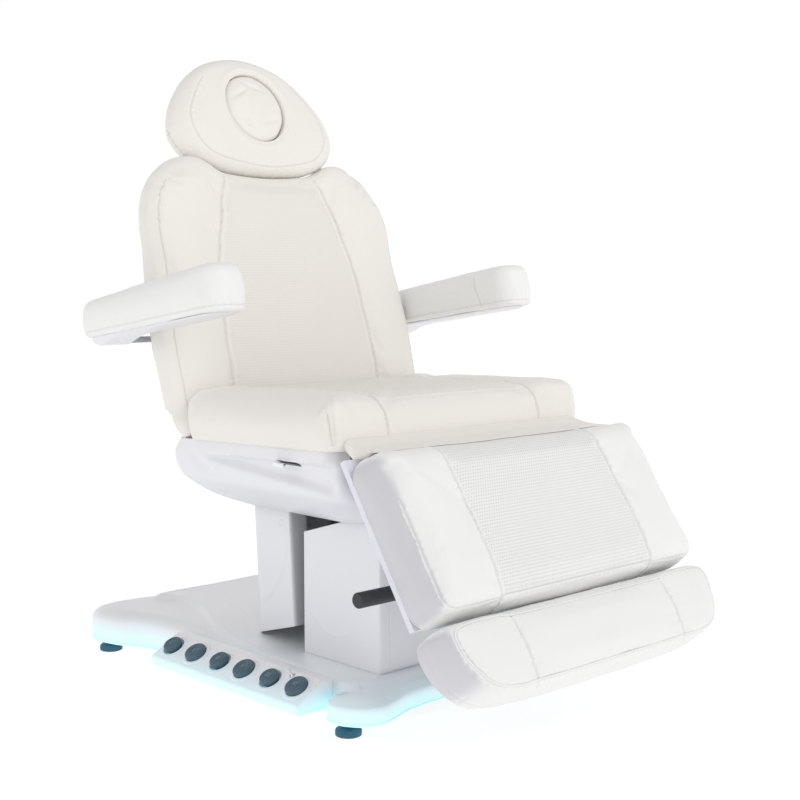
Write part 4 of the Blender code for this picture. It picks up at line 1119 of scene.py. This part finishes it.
def make_knob():
    """Fluted clamping knob under the foot pad."""
    base = LEG.point(0.0, KNOB_S, KNOB_N)
    axis = LEG.point(0.0, KNOB_S, KNOB_N - 1.0) - base
    profile = [(0.0, 0.0), (0.0105, 0.0), (0.0115, 0.010), (0.0170, 0.0165), (0.0255, 0.0200),
               (0.0290, 0.0245), (0.0298, 0.0300), (0.0298, 0.0455), (0.0285, 0.0500),
               (0.0240, 0.0530), (0.0150, 0.0545), (0.0120, 0.0535), (0.0, 0.0530)]
    knob = lathe("foot_knob_grip", profile, base, axis, RUBBER, 96)
    x, s, n = LEG.local(positions(knob.data)).T
    reach = np.hypot(x, s - KNOB_S)
    flute = 0.5 + 0.5 * np.cos(KNOB_FLUTES * np.arctan2(s - KNOB_S, x))
    swell = 1.0 - 0.05 * flute * step(reach, 0.017, 0.010)
    set_positions(knob.data, LEG.points(x * swell, KNOB_S + (s - KNOB_S) * swell, n))
    mount(knob, "foot_knob", "rubber", "foot_knob")


# ---- Armrests --------------------------------------------------------------------------------
ARM_X = 0.407
PAD_HEIGHT = 0.070
TRAY_TOP = 0.0062       # its distance below the pad's plane


def make_armrests():
    for side, sign in (("right", -1), ("left", 1)):
        body = f"armrest_{side}"
        loop = even(rounded_box(0.0495, 0.013, 0.475, 0.030, 0.040), 0.007, closed=True)

        def wedge(x, s, n):
            rise = 0.017 * np.clip(s / 0.475, 0.0, 1.0) - 0.003
            return x, s, n + rise * np.clip(n / PAD_HEIGHT, 0.0, 1.0)

        ob = cushion(f"armrest_{side}_cover", ARM, loop, lambda x, s: 0.020, PAD_HEIGHT + 0.006,
                     top=PAD_HEIGHT, crown=(0.005, 0.05), cell=0.007, shift_x=sign * ARM_X, bulge=0.003,
                     shape=wedge)
        inflate(ob, ARM, 3.5, 0.003, lambda x, s, n: np.where(n < 0.018, 1.0, 0.0))
        ring = np.column_stack([loop[:, 0] + sign * ARM_X, loop[:, 1]])
        inner = sign * 0.3575
        joint = [(inner, 0.372 + 0.020 * t, 0.070 - 0.068 * t) for t in (0.0, 0.5, 1.0)]
        folds = [[(inner, s + 0.04 * t, 0.044 - 0.012 * t) for t in (0.0, 0.5, 1.0)] for s in (0.255, 0.285)]
        sew(ob, [Seam(loop_at(ARM, ring + outward(loop) * 0.002, 0.005), 0.0014, 0.0018, closed=True,
                      pucker=0.0008, wave=0.013, curve=False, shade=0.8),
                 Seam(ARM.line(joint), 0.0018, 0.0020, pucker=0.0014, wave=0.012)]
            + [Seam(ARM.line(fold), 0.0014, 0.0040, shade=0.0) for fold in folds])
        waves(ob, 0.0010, 0.07, 31.0 + sign)
        pattern(ob, ARM)
        finish_pad(ob, [f"armrest_pad_{side}"], body, WHITE_HIDE)
        make_tray(side, sign, body)


def make_tray(side, sign, body):
    """Slim pan under the pad, deeper around the pivot."""
    loop = even(rounded_box(0.038, 0.024, 0.455, 0.024, 0.034), 0.008, closed=True)
    axis = ARM.local(np.array([joint_place(f"armrest_{side}_raise")[:]]))[0]

    def low_at(x, s, t):
        depth = 0.011 + 0.014 * exp_bump((s - axis[1]) / 0.040)
        return ARM.point(x + sign * ARM_X, s, -TRAY_TOP - (depth - TRAY_TOP) * t)

    verts, levels = [], ((0.0, 0.0), (0.0, 0.45), (0.003, 0.80), (0.009, 1.0))
    for inset, t in levels:
        verts += [low_at(x, s, t) for x, s in loop - outward(loop) * inset]
    under, under_faces = filled(loop - outward(loop) * levels[-1][0], 0.008)
    count, first = len(loop), len(verts)
    faces = ring_faces(len(levels), count) + bridge(first - count, first, count)
    verts += [low_at(x, s, 1.0) for x, s in under]
    faces += moved_on(under_faces, first)
    faces.append(tuple(range(count)))
    tray = new_object(f"armrest_{side}_tray", verts, faces, PLASTIC, 40.0)
    mount(tray, body, "white_plastic", f"armrest_tray_{side}")
    low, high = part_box(f"arm_bracket_{side}")
    start = (sign * 0.2325, (low[1] + high[1]) / 2, (low[2] + high[2]) / 2 + 0.010)
    profile = [(0.0, 0.0), (0.0060, 0.0), (0.0065, 0.0005), (0.0065, 0.197), (0.0060, 0.1975), (0.0, 0.1975)]
    bracket = lathe(f"arm_{side}_bracket", profile, start, (sign, 0.0, 0.0), STEEL, 32)
    mount(bracket, "backrest", "painted_steel", f"arm_bracket_{side}")


def exp_bump(t):
    return float(np.exp(-t * t))


# ---- Strip over the gap ----------------------------------------------------------------------
FLAP_TIP_Y, FLAP_TIP_Z = CREASE_Y - 0.566, 0.5362


def make_flap():
    """Folded strip between the seat's front and the leg cushion's top."""
    y = CREASE_Y
    upper = [(y - 0.4668, 0.5500), (y - 0.4800, 0.5465), (y - 0.5000, 0.5400), (y - 0.5200, 0.5375),
             (y - 0.5400, 0.5374), (FLAP_TIP_Y, FLAP_TIP_Z + 0.0018)]
    lower = [(FLAP_TIP_Y - 0.0012, FLAP_TIP_Z + 0.0008), (FLAP_TIP_Y, FLAP_TIP_Z), LEG.at(0.0090, 0.052),
             LEG.at(0.0085, 0.038), LEG.at(0.0075, 0.020), (y - 0.4960, 0.5110), (y - 0.4790, 0.5190),
             (y - 0.4672, 0.5340)]
    ring = smooth(upper + lower, 0.0045, closed=True)
    centre = ring.mean(axis=0)
    columns = np.linspace(-0.325, 0.325, 110)
    under = surface_of(bpy.data.objects["leg_cover"].data)
    verts = []
    for x in columns:
        hit = under.ray_cast(Vector((x, FLAP_TIP_Y, 0.60)), Vector((0.0, 0.0, -1.0)))[0]
        lift = hit.z + 0.0003 - FLAP_TIP_Z if hit else 0.0
        end = min(1.0, (0.326 - abs(x)) / 0.012)
        scale = sqrt(max(0.30, 1.0 - (1.0 - end) ** 2))
        for py, pz in ring:
            fold = 0.0022 * noise.noise(Vector((x * 22.0, py * 40.0, 4.0)))
            offset = (np.array([py, pz]) - centre) * (1.0, scale) + centre
            at_tip = step(y - 0.520 - py, 0.0, 0.035)
            verts.append((x, offset[0], offset[1] + fold * (1.0 - at_tip) + lift * at_tip))
    count = len(ring)
    faces = ring_faces(len(columns), count) + end_faces(len(columns), count)
    ob = new_object("gap_strip", verts, faces, CREAM)
    subdivided(ob)
    baked(ob)
    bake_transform(ob)
    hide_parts("gap_flap")


# ---- Base ------------------------------------------------------------------------------------
BASE_HALF = [(0.0, -0.495), (0.10, -0.497), (0.19, -0.503), (0.245, -0.521), (0.285, -0.530),
             (0.322, -0.515), (0.344, -0.480), (0.345, -0.450), (0.326, -0.424), (0.300, -0.414),
             (0.295, -0.405), (0.295, -0.160), (0.295, 0.100), (0.298, 0.170), (0.310, 0.220),
             (0.333, 0.265), (0.346, 0.315), (0.344, 0.362), (0.318, 0.398), (0.270, 0.412),
             (0.200, 0.405), (0.100, 0.385), (0.0, 0.378)]
PLATEAU_HALF = [(0.0, -0.440), (0.180, -0.446), (0.262, -0.430), (0.279, -0.370), (0.277, -0.285),
                (0.281, -0.230), (0.261, -0.132), (0.255, -0.059), (0.239, 0.024), (0.205, 0.105),
                (0.172, 0.183), (0.152, 0.268), (0.158, 0.315), (0.170, 0.345), (0.0, 0.345)]
BASE_RIDGE = [(0.095, 0.210), (0.112, 0.150), (0.128, 0.098), (0.158, 0.028), (0.198, -0.058)]
LIP_Z, WALL_TOP_Z, SHELL, SHOULDER = 0.031, 0.055, 0.004, 0.040


def shifted(line):
    return [(x, y + CREASE_Y) for x, y in line]


def cover_top(y):
    t = np.clip((y - CREASE_Y + 0.18) / 0.30, 0.0, 1.0)
    return 0.085 + 0.023 * t * t * (3.0 - 2.0 * t)


def make_base():
    """Moulded cover with a raised plateau, open under the column, and its light strip."""
    loop = smooth(shifted(mirrored(BASE_HALF)), 0.009, closed=True)
    plateau = smooth(shifted(mirrored(PLATEAU_HALF)), 0.006, closed=True)
    normal = outward(loop)
    opening = np.array(rounded_box(0.186, CREASE_Y - 0.411, CREASE_Y - 0.214, 0.004, 0.004, 2))
    rings = [[(x, y, z) for x, y in loop] for z in np.linspace(LIP_Z, WALL_TOP_Z, 6)]
    low = np.maximum(cover_top(loop[:, 1]) - 0.026, WALL_TOP_Z)
    for k in range(1, 9):
        a = radians(90.0 * k / 9)
        ring = loop - normal * SHOULDER * (1.0 - cos(a))
        z = low + (cover_top(ring[:, 1]) - low) * sin(a)
        rings.append([(x, y, h) for (x, y), h in zip(ring, z)])
    top, top_faces = filled(loop - normal * SHOULDER, 0.010, [opening])
    verts, count = sum(rings, []), len(loop)
    faces = ring_faces(len(rings), count) + bridge(len(verts) - count, len(verts), count)
    faces += moved_on(top_faces, len(verts))
    verts += [(x, y, cover_top(y)) for x, y in top]
    ob = new_object("base_shell", verts, faces, BASE_PLASTIC)
    refine(ob, np.column_stack([plateau, cover_top(plateau[:, 1])]), 0.026)
    points = positions(ob.data)
    d = nearest(points[:, :2], plateau)[0]
    outside = np.where(inside(points[:, :2], plateau), 0.0, 1.0)
    drop = 0.0085 * step(d, 0.0, 0.020) * outside * step(points[:, 2], 0.06, 0.02)
    rise = 0.0015 * np.exp(-(d / 0.006) ** 2)
    points[:, 2] += rise - drop
    set_positions(ob.data, points)
    ridge = [[(sign * x, y, float(cover_top(y))) for x, y in shifted(BASE_RIDGE)] for sign in (-1, 1)]
    sew(ob, [Seam(line, -0.0026, 0.0060, shade=0.0) for line in ridge], levels=(0.014,))
    walled(ob, 50.0)
    mount(ob, "base", "white_plastic", "base_cover")
    lip = [(x, y, LIP_Z + 0.003) for x, y in (loop + normal * 0.0004)[::2]]
    mount(tube("base_lip_bead", lip, 0.0018, BASE_PLASTIC, 8, closed=True), "base", "white_plastic")
    under = [(x, y, LIP_Z + 0.009) for x, y in (loop - normal * 0.018)[::2]]
    mount(tube("led_line", under, 0.0032, LED, 8, closed=True), "base", "led", "led_strip")


# ---- Foot controls ---------------------------------------------------------------------------
BUTTONS = 6
BUTTON_X, BUTTON_SEAT_Z = -0.352, 0.078
BUTTON_TILT = radians(30.0)
BUTTON_AXIS = Vector((-sin(BUTTON_TILT), 0.0, cos(BUTTON_TILT)))
BUTTON_ACROSS = Vector((cos(BUTTON_TILT), 0.0, sin(BUTTON_TILT)))
BUTTON_RADIUS = 0.022
BUTTON_PROFILE = [(0.0, -0.006), (0.017, -0.006), (0.0172, -0.001), (0.0212, 0.0), (BUTTON_RADIUS, 0.001),
                  (BUTTON_RADIUS, 0.0080), (0.0212, 0.0100), (0.0195, 0.0116), (0.0175, 0.0122),
                  (0.0165, 0.0119), (0.0140, 0.0117), (0.0132, 0.0124), (0.0122, 0.0124),
                  (0.0114, 0.0117), (0.0, 0.0114)]


def button_seat(index):
    low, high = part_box(f"foot_button_{index + 1}")
    return Vector((BUTTON_X, (low[1] + high[1]) / 2, BUTTON_SEAT_Z))


def carve(ob, tools):
    """Cuts the tools out of the object and removes them."""
    for tool in tools:
        modifier = ob.modifiers.new("cut", "BOOLEAN")
        modifier.object = tool
        modifier.operation = "DIFFERENCE"
        modifier.solver = "EXACT"
    baked(ob)
    for tool in tools:
        bpy.data.objects.remove(tool)


def box_tool(name, xs, ys, zs):
    corners = [(x, y, z) for z in zs for y in ys for x in xs]
    faces = [(0, 1, 3, 2), (4, 6, 7, 5), (0, 4, 5, 1), (2, 3, 7, 6), (0, 2, 6, 4), (1, 5, 7, 3)]
    return new_object(name, corners, faces)


def well(name, radius, low, high, centre, steps):
    """Round cutting tool along the buttons' axis."""
    profile = [(0.0, low), (radius, low), (radius, high), (0.0, high)]
    return lathe(name, profile, centre, BUTTON_AXIS, BASE_PLASTIC, steps)


def make_controls():
    """Foot control bar with wells for the buttons and the light switch, and the buttons."""
    low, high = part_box("foot_control_bar")
    slope = sin(BUTTON_TILT) / cos(BUTTON_TILT)
    ridge = BUTTON_SEAT_Z + 0.030 * slope
    outline = [(high[0], 0.036), (-0.378, 0.036), (-0.385, 0.042), (-0.386, BUTTON_SEAT_Z - 0.034 * slope),
               (BUTTON_X + 0.030, ridge), (high[0], ridge)]
    rows = np.linspace(low[1], high[1], 60)
    verts = [(x, y, z) for y in rows for x, z in outline]
    faces = ring_faces(len(rows), len(outline)) + end_faces(len(rows), len(outline))
    bar = new_object("control_bar", verts, faces, BASE_PLASTIC)
    bevelled(bar, 0.006, 4, 30.0)
    baked(bar)
    wells = [well("well", BUTTON_RADIUS + 0.0012, -0.016, 0.03, button_seat(k), 48) for k in range(BUTTONS)]
    grooves = []
    for k in range(1, BUTTONS - 1, 2):
        y = (button_seat(k).y + button_seat(k + 1).y) / 2
        grooves.append(box_tool("groove", (-0.40, -0.3842), (y - 0.0010, y + 0.0010), (0.020, 0.058)))
    hub = button_seat(BUTTONS - 1) + Vector((0.0, 0.040, 0.0)) + 0.024 * BUTTON_ACROSS
    wells.append(well("hub", 0.0062, -0.010, 0.02, hub, 32))
    carve(bar, wells + grooves)
    bar.data.set_sharp_from_angle(angle=radians(28.0))
    mount(bar, "base", "white_plastic", "foot_control_bar")
    for k in range(BUTTONS):
        make_button(k)


def make_button(k):
    """Cap with one to three raised bars in a ring, and the collar around its well."""
    seat, body = button_seat(k), f"button_{k + 1}"
    wide = 1.03 if k % 2 else 0.90
    cap = lathe(f"{body}_cap", [(r * wide, h) for r, h in BUTTON_PROFILE], seat, BUTTON_AXIS, SLATE)
    bars = 1 + k // 2
    marks = []
    for i in range(bars):
        centre = seat + BUTTON_AXIS * 0.0117 + Vector((0.0, (i - (bars - 1) / 2) * 0.0042, 0.0))
        path = [centre - BUTTON_ACROSS * 0.005, centre, centre + BUTTON_ACROSS * 0.005]
        marks.append(tube("mark", path, 0.0009, MARK, 8))
    cap = joined(f"{body}_cap", [cap, *marks])
    mount(cap, body, "button_blue", f"foot_button_{k + 1}")
    mount(collar(f"{body}_collar", seat, 0.0046 if k % 2 else 0.0018), "base", "white_plastic")


def collar(name, seat, height):
    """Raised lip around a button's well, highest on the side towards the bed."""
    along = Vector((0.0, 1.0, 0.0))
    verts = []
    steps, inner = 64, BUTTON_RADIUS + 0.0014
    section = [(0.0, -0.002), (0.0, 1.0), (0.0014, 1.12), (0.0040, 0.85), (0.0070, 0.30), (0.0090, -0.002)]
    for k in range(steps):
        a = 2.0 * pi * k / steps
        out = BUTTON_ACROSS * cos(a) + along * sin(a)
        up = height * (0.35 + 0.65 * (0.5 + 0.5 * cos(a - 0.5)) ** 1.5)
        for reach, level in section:
            h = level * up if level > 0 else -0.002
            verts.append(seat + out * (inner + reach) + BUTTON_AXIS * h)
    return new_object(name, verts, ring_faces(steps, len(section), around=True), BASE_PLASTIC, 60.0)


FOOT_PROFILE = [(0.0, 0.0), (0.0225, 0.0), (0.0245, 0.0012), (0.025, 0.0035), (0.025, 0.0095),
                (0.0242, 0.0115), (0.0215, 0.0140), (0.0170, 0.0155), (0.0100, 0.0165),
                (0.0085, 0.0195), (0.0060, 0.0205)]
THREAD_START, THREAD_END, THREAD_PITCH = 0.0205, 0.047, 0.0015


def make_feet():
    """Levelling feet with a threaded stem."""
    profile, z = list(FOOT_PROFILE), THREAD_START
    while z < THREAD_END:
        profile += [(0.0060, z + 0.0004), (0.0053, z + 0.0009), (0.0060, z + 0.0014)]
        z += THREAD_PITCH
    profile += [(0.0060, 0.050), (0.0, 0.050)]
    for end in ("front", "rear"):
        for side in ("right", "left"):
            node = f"levelling_foot_{end}_{side}"
            low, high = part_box(node)
            centre = ((low[0] + high[0]) / 2, (low[1] + high[1]) / 2, 0.0)
            foot = lathe(f"foot_{end}_{side}", profile, centre, (0.0, 0.0, 1.0), FOOT_RUBBER, 48)
            mount(foot, f"foot_{end}_{side}", "rubber", node)


# ---- Column covers and seat pan --------------------------------------------------------------
COVER_ROWS = 44


def cover_path(half, y_open, y_closed, corner, lip):
    """Three-sided plan of a column cover, open towards y_open, with lips turned inwards."""
    toward = 1.0 if y_closed > y_open else -1.0
    path = [(half - lip, y_open), (half, y_open)]
    for k in range(13):
        a = radians(90.0 - 7.5 * k)
        path.append((half - corner + corner * sin(a), y_closed - toward * corner * (1.0 - cos(a))))
    path += [(-x, y) for x, y in reversed(path)]
    return even([(x, y + CREASE_Y) for x, y in path], 0.006)


def cover_sheet(name, path, bottom, top, lean=lambda x, y, z: (x, y, z)):
    """Open sheet along a plan path, between two heights."""
    verts = []
    for t in np.linspace(0.0, 1.0, COVER_ROWS):
        for x, y in path:
            z0, z1 = bottom(y), top(y)
            verts.append(lean(x, y, z0 + (z1 - z0) * t))
    return new_object(name, verts, ring_faces(COVER_ROWS, len(path), closed=False), PLASTIC)


def rings_on_sides(half, y, z, radius, count):
    """A circle on each side of a cover."""
    turns = np.linspace(0.0, 2.0 * pi, count, endpoint=False)
    return [[(sign * half, y + radius * cos(a), z + radius * sin(a)) for a in turns] for sign in (-1, 1)]


def thick(ob):
    """Gives a cover its wall, on the inside."""
    points, out = positions(ob.data), normals(ob.data)
    if np.sum((points - points.mean(axis=0))[:, :2] * out[:, :2]) < 0:
        ob.data.flip_normals()
    walled(ob, 45.0, 0.0012)


FRONT_COVER_HALF, FRONT_COVER_Y = 0.200, -0.431
REAR_COVER_HALF = 0.1945      # slides inside the front cover when the seat tilts
COVER_CURVE = ((0.142, 0.30), (0.130, 0.24), (0.095, 0.19), (0.060, 0.17))


def make_column_covers():
    """Front cover on the base and rear cover that hangs from the seat."""
    path = cover_path(FRONT_COVER_HALF, -0.205, FRONT_COVER_Y, 0.005, 0.0035)
    front = cover_sheet("column_front_shell", path, lambda y: 0.0855,
                        lambda y: 0.331 + (CREASE_Y - 0.205 - y) * 0.30)
    panel = [[(sign * 0.174, CREASE_Y + FRONT_COVER_Y, z) for z in np.linspace(0.090, 0.396, 12)]
             for sign in (-1, 1)]
    disc = rings_on_sides(FRONT_COVER_HALF, CREASE_Y - 0.300, 0.212, 0.075, 40)
    sew(front, [Seam(line, 0.0016, 0.0016, shade=0.0) for line in panel]
        + [Seam(line, -0.0006, 0.0050, closed=True, shade=0.0) for line in disc], levels=(0.010, 0.005))
    thick(front)
    mount(front, "base", "white_plastic", "front_column_cover")

    path = cover_path(REAR_COVER_HALF, -0.155, -0.028, 0.020, 0.045)
    rear = cover_sheet("column_rear_shell", path, lambda y: 0.0965 + (CREASE_Y - 0.036 - y) * 0.28,
                       lambda y: 0.3958, lambda x, y, z: (x, y + 0.065 * (z - 0.35), z))
    boss = rings_on_sides(REAR_COVER_HALF, CREASE_Y - 0.128, 0.340, 0.007, 20)
    curve = [[(sign * REAR_COVER_HALF, CREASE_Y - y, z) for y, z in COVER_CURVE] for sign in (-1, 1)]
    sew(rear, [Seam(line, 0.0016, 0.0018, closed=True, shade=0.0) for line in boss]
        + [Seam(line, -0.0016, 0.0050, shade=0.0) for line in curve], levels=(0.010, 0.005))
    thick(rear)
    mount(rear, "seat", "white_plastic", "rear_column_cover")


PAN_LEVELS = [(0.336, -0.437, 0.040, 0.030, 0.5125), (0.338, -0.452, 0.062, 0.035, 0.480),
              (0.325, -0.468, 0.066, 0.045, 0.440), (0.300, -0.466, 0.058, 0.055, 0.415),
              (0.262, -0.440, 0.040, 0.060, 0.390), (0.215, -0.400, 0.000, 0.060, 0.370)]
PAN_RIDGE = [(-0.484, 0.436), (-0.359, 0.451), (-0.246, 0.462), (-0.151, 0.470), (-0.078, 0.480),
             (-0.040, 0.520)]
PAN_SCALLOP = ((-0.018, 0.492), (-0.032, 0.474), (-0.052, 0.456), (-0.078, 0.442))


def make_pan():
    """Moulded pan with a sunk band along each side, a slot for the lever and room for the hinges."""
    fine = smooth(np.array(PAN_LEVELS), 0.0045)
    half, y0, y1, radius, _ = PAN_LEVELS[0]
    count = len(even(rounded_box(half, y0, y1, radius, radius, 10), 0.0055, True))
    verts = []
    for half, y0, y1, radius, z in fine:
        rise = 0.028 * step(z, 0.478, 0.03)
        for x, y in resampled(np.array(rounded_box(half, y0, y1, radius, radius, 10)), count):
            verts.append((x, y + CREASE_Y, z + rise * (0.04 - y)))
    last = verts[-count:]
    bottom, bottom_faces = filled(np.array(last)[:, :2], 0.014)
    faces = ring_faces(len(fine), count) + moved_on(bottom_faces, len(verts))
    verts += [(x, y, last[0][2]) for x, y in bottom]
    ob = new_object("seat_pan_shell", verts, faces, PLASTIC)
    points = positions(ob.data)
    y, z = points[:, 1] - CREASE_Y, points[:, 2]
    ledge, ridge = 0.489 - 0.033 * y, np.interp(y, *np.transpose(PAN_RIDGE))
    sunk = step(ledge - z, 0.0, 0.010) * step(z - ridge, -0.006, 0.024) * step(y, -0.455, 0.03)
    points[:, 0] -= np.sign(points[:, 0]) * 0.017 * sunk * step(np.abs(points[:, 0]), 0.27, 0.03)
    set_positions(ob.data, points)
    if np.sum(points[:, 0] * normals(ob.data)[:, 0]) < 0:
        ob.data.flip_normals()
    scallop = [[(sign * 0.336, CREASE_Y + y, z) for y, z in PAN_SCALLOP] for sign in (-1, 1)]
    sew(ob, [Seam(line, 0.0050, 0.0100, shade=0.0) for line in scallop], levels=(0.02,))
    y = CREASE_Y
    cut_out(ob, [((-0.206, 0.206), (y - 0.446, y - 0.010), (0.34, 0.412)),
                 ((-0.285, 0.285), (y + 0.010, y + 0.10), (0.418, 0.55)),
                 ((-0.285, 0.285), (y - 0.50, y - 0.41), (0.445, 0.55)),
                 ((-0.36, -0.30), (y - 0.348, y - 0.292), (0.4885, 0.4975))])
    walled(ob, 40.0)
    mount(ob, "seat", "white_plastic", "seat_pan")


def cut_out(ob, boxes):
    """Removes the parts of a thin sheet that lie in boxes given as (xs, ys, zs)."""
    bm = bmesh.new()
    bm.from_mesh(ob.data)
    for limits in boxes:
        for axis, pair in enumerate(limits):
            for value in pair:
                point, normal = [0.0, 0.0, 0.0], [0.0, 0.0, 0.0]
                point[axis], normal[axis] = value, 1.0
                near = [f for f in bm.faces if all(low - 0.02 < f.calc_center_median()[k] < high + 0.02
                                                   for k, (low, high) in enumerate(limits))]
                parts = set(near) | {e for f in near for e in f.edges} | {v for f in near for v in f.verts}
                bmesh.ops.bisect_plane(bm, geom=list(parts), plane_co=point, plane_no=normal, dist=1e-5)
        gone = [f for f in bm.faces if all(low < f.calc_center_median()[k] < high
                                           for k, (low, high) in enumerate(limits))]
        bmesh.ops.delete(bm, geom=gone, context="FACES")
    bm.to_mesh(ob.data)
    bm.free()


def resampled(ring, count):
    """The same closed ring with count evenly spaced points."""
    closed = np.vstack([ring, ring[:1]])
    length = np.r_[0.0, np.cumsum(np.linalg.norm(np.diff(closed, axis=0), axis=1))]
    wanted = np.linspace(0.0, length[-1], count, endpoint=False)
    return np.column_stack([np.interp(wanted, length, closed[:, k]) for k in range(2)])


# ---- Floor, light and camera -----------------------------------------------------------------
WHITE_BELOW, DIM_ABOVE, TOP_LIGHT = 0.24, 0.62, 0.60      # sine of the elevation, and strength above
LAMPS = (("key", (0.9, -3.0, 3.1), 1.8, 34.0), ("side", (-3.2, 0.2, 2.2), 2.0, 8.0))


def make_stage():
    g = Graph("studio_floor")
    g.set("Base Color", g.mix(g.noise(1.5), colour(0.31, 0.31, 0.31), colour(0.33, 0.33, 0.33)))
    g.set("Roughness", 0.9)
    g.set("Specular IOR Level", 0.05)
    g.set("Emission Color", colour(1.0, 1.0, 1.0))
    g.set("Emission Strength", 0.80)
    bpy.ops.mesh.primitive_plane_add(size=60.0, location=(0.0, 0.0, 0.0))
    floor = bpy.context.object
    floor.name = "studio_floor"
    floor.data.materials.append(g.material)
    make_studio_light()

    camera = bpy.data.cameras.new("camera")
    camera.lens = 61.7
    camera.sensor_width = 36.0
    eye = bpy.data.objects.new("camera", camera)
    eye.location = (-1.94, CREASE_Y - 2.30, 0.84)
    eye.rotation_euler = (radians(90.0 - 5.12), 0.0, -radians(43.8))
    scene = bpy.context.scene
    scene.collection.objects.link(eye)
    scene.camera = eye


def make_studio_light():
    """White horizon, softer light from above, and large lamps."""
    scene = bpy.context.scene
    world = bpy.data.worlds.new("studio")
    scene.world = world
    world.use_nodes = True
    nodes, links = world.node_tree.nodes, world.node_tree.links
    place = nodes.new("ShaderNodeTexCoord")
    split = nodes.new("ShaderNodeSeparateXYZ")
    height = nodes.new("ShaderNodeMapRange")
    height.interpolation_type = "SMOOTHSTEP"
    links.new(place.outputs["Generated"], split.inputs[0])
    links.new(split.outputs["Z"], height.inputs[0])
    for key, value in ((1, WHITE_BELOW), (2, DIM_ABOVE), (3, 1.02), (4, TOP_LIGHT)):
        height.inputs[key].default_value = value
    links.new(height.outputs[0], nodes["Background"].inputs["Strength"])
    nodes["Background"].inputs["Color"].default_value = colour(1.0, 1.0, 1.0)
    scene.view_settings.view_transform = "Standard"
    scene.view_settings.look = "None"
    for name, place, size, power in LAMPS:
        light = bpy.data.lights.new(name, "AREA")
        light.size = size
        light.energy = power
        lamp = bpy.data.objects.new(name, light)
        lamp.location = place
        lamp.rotation_euler = (Vector((0.0, 0.0, 0.6)) - Vector(place)).to_track_quat("-Z", "Y").to_euler()
        scene.collection.objects.link(lamp)


make_stage()
make_back()
make_headrest()
make_seat()
make_leg()
make_foot()
make_knob()
make_armrests()
make_flap()
make_base()
make_controls()
make_feet()
make_column_covers()
make_pan()

bpy.context.view_layer.update()
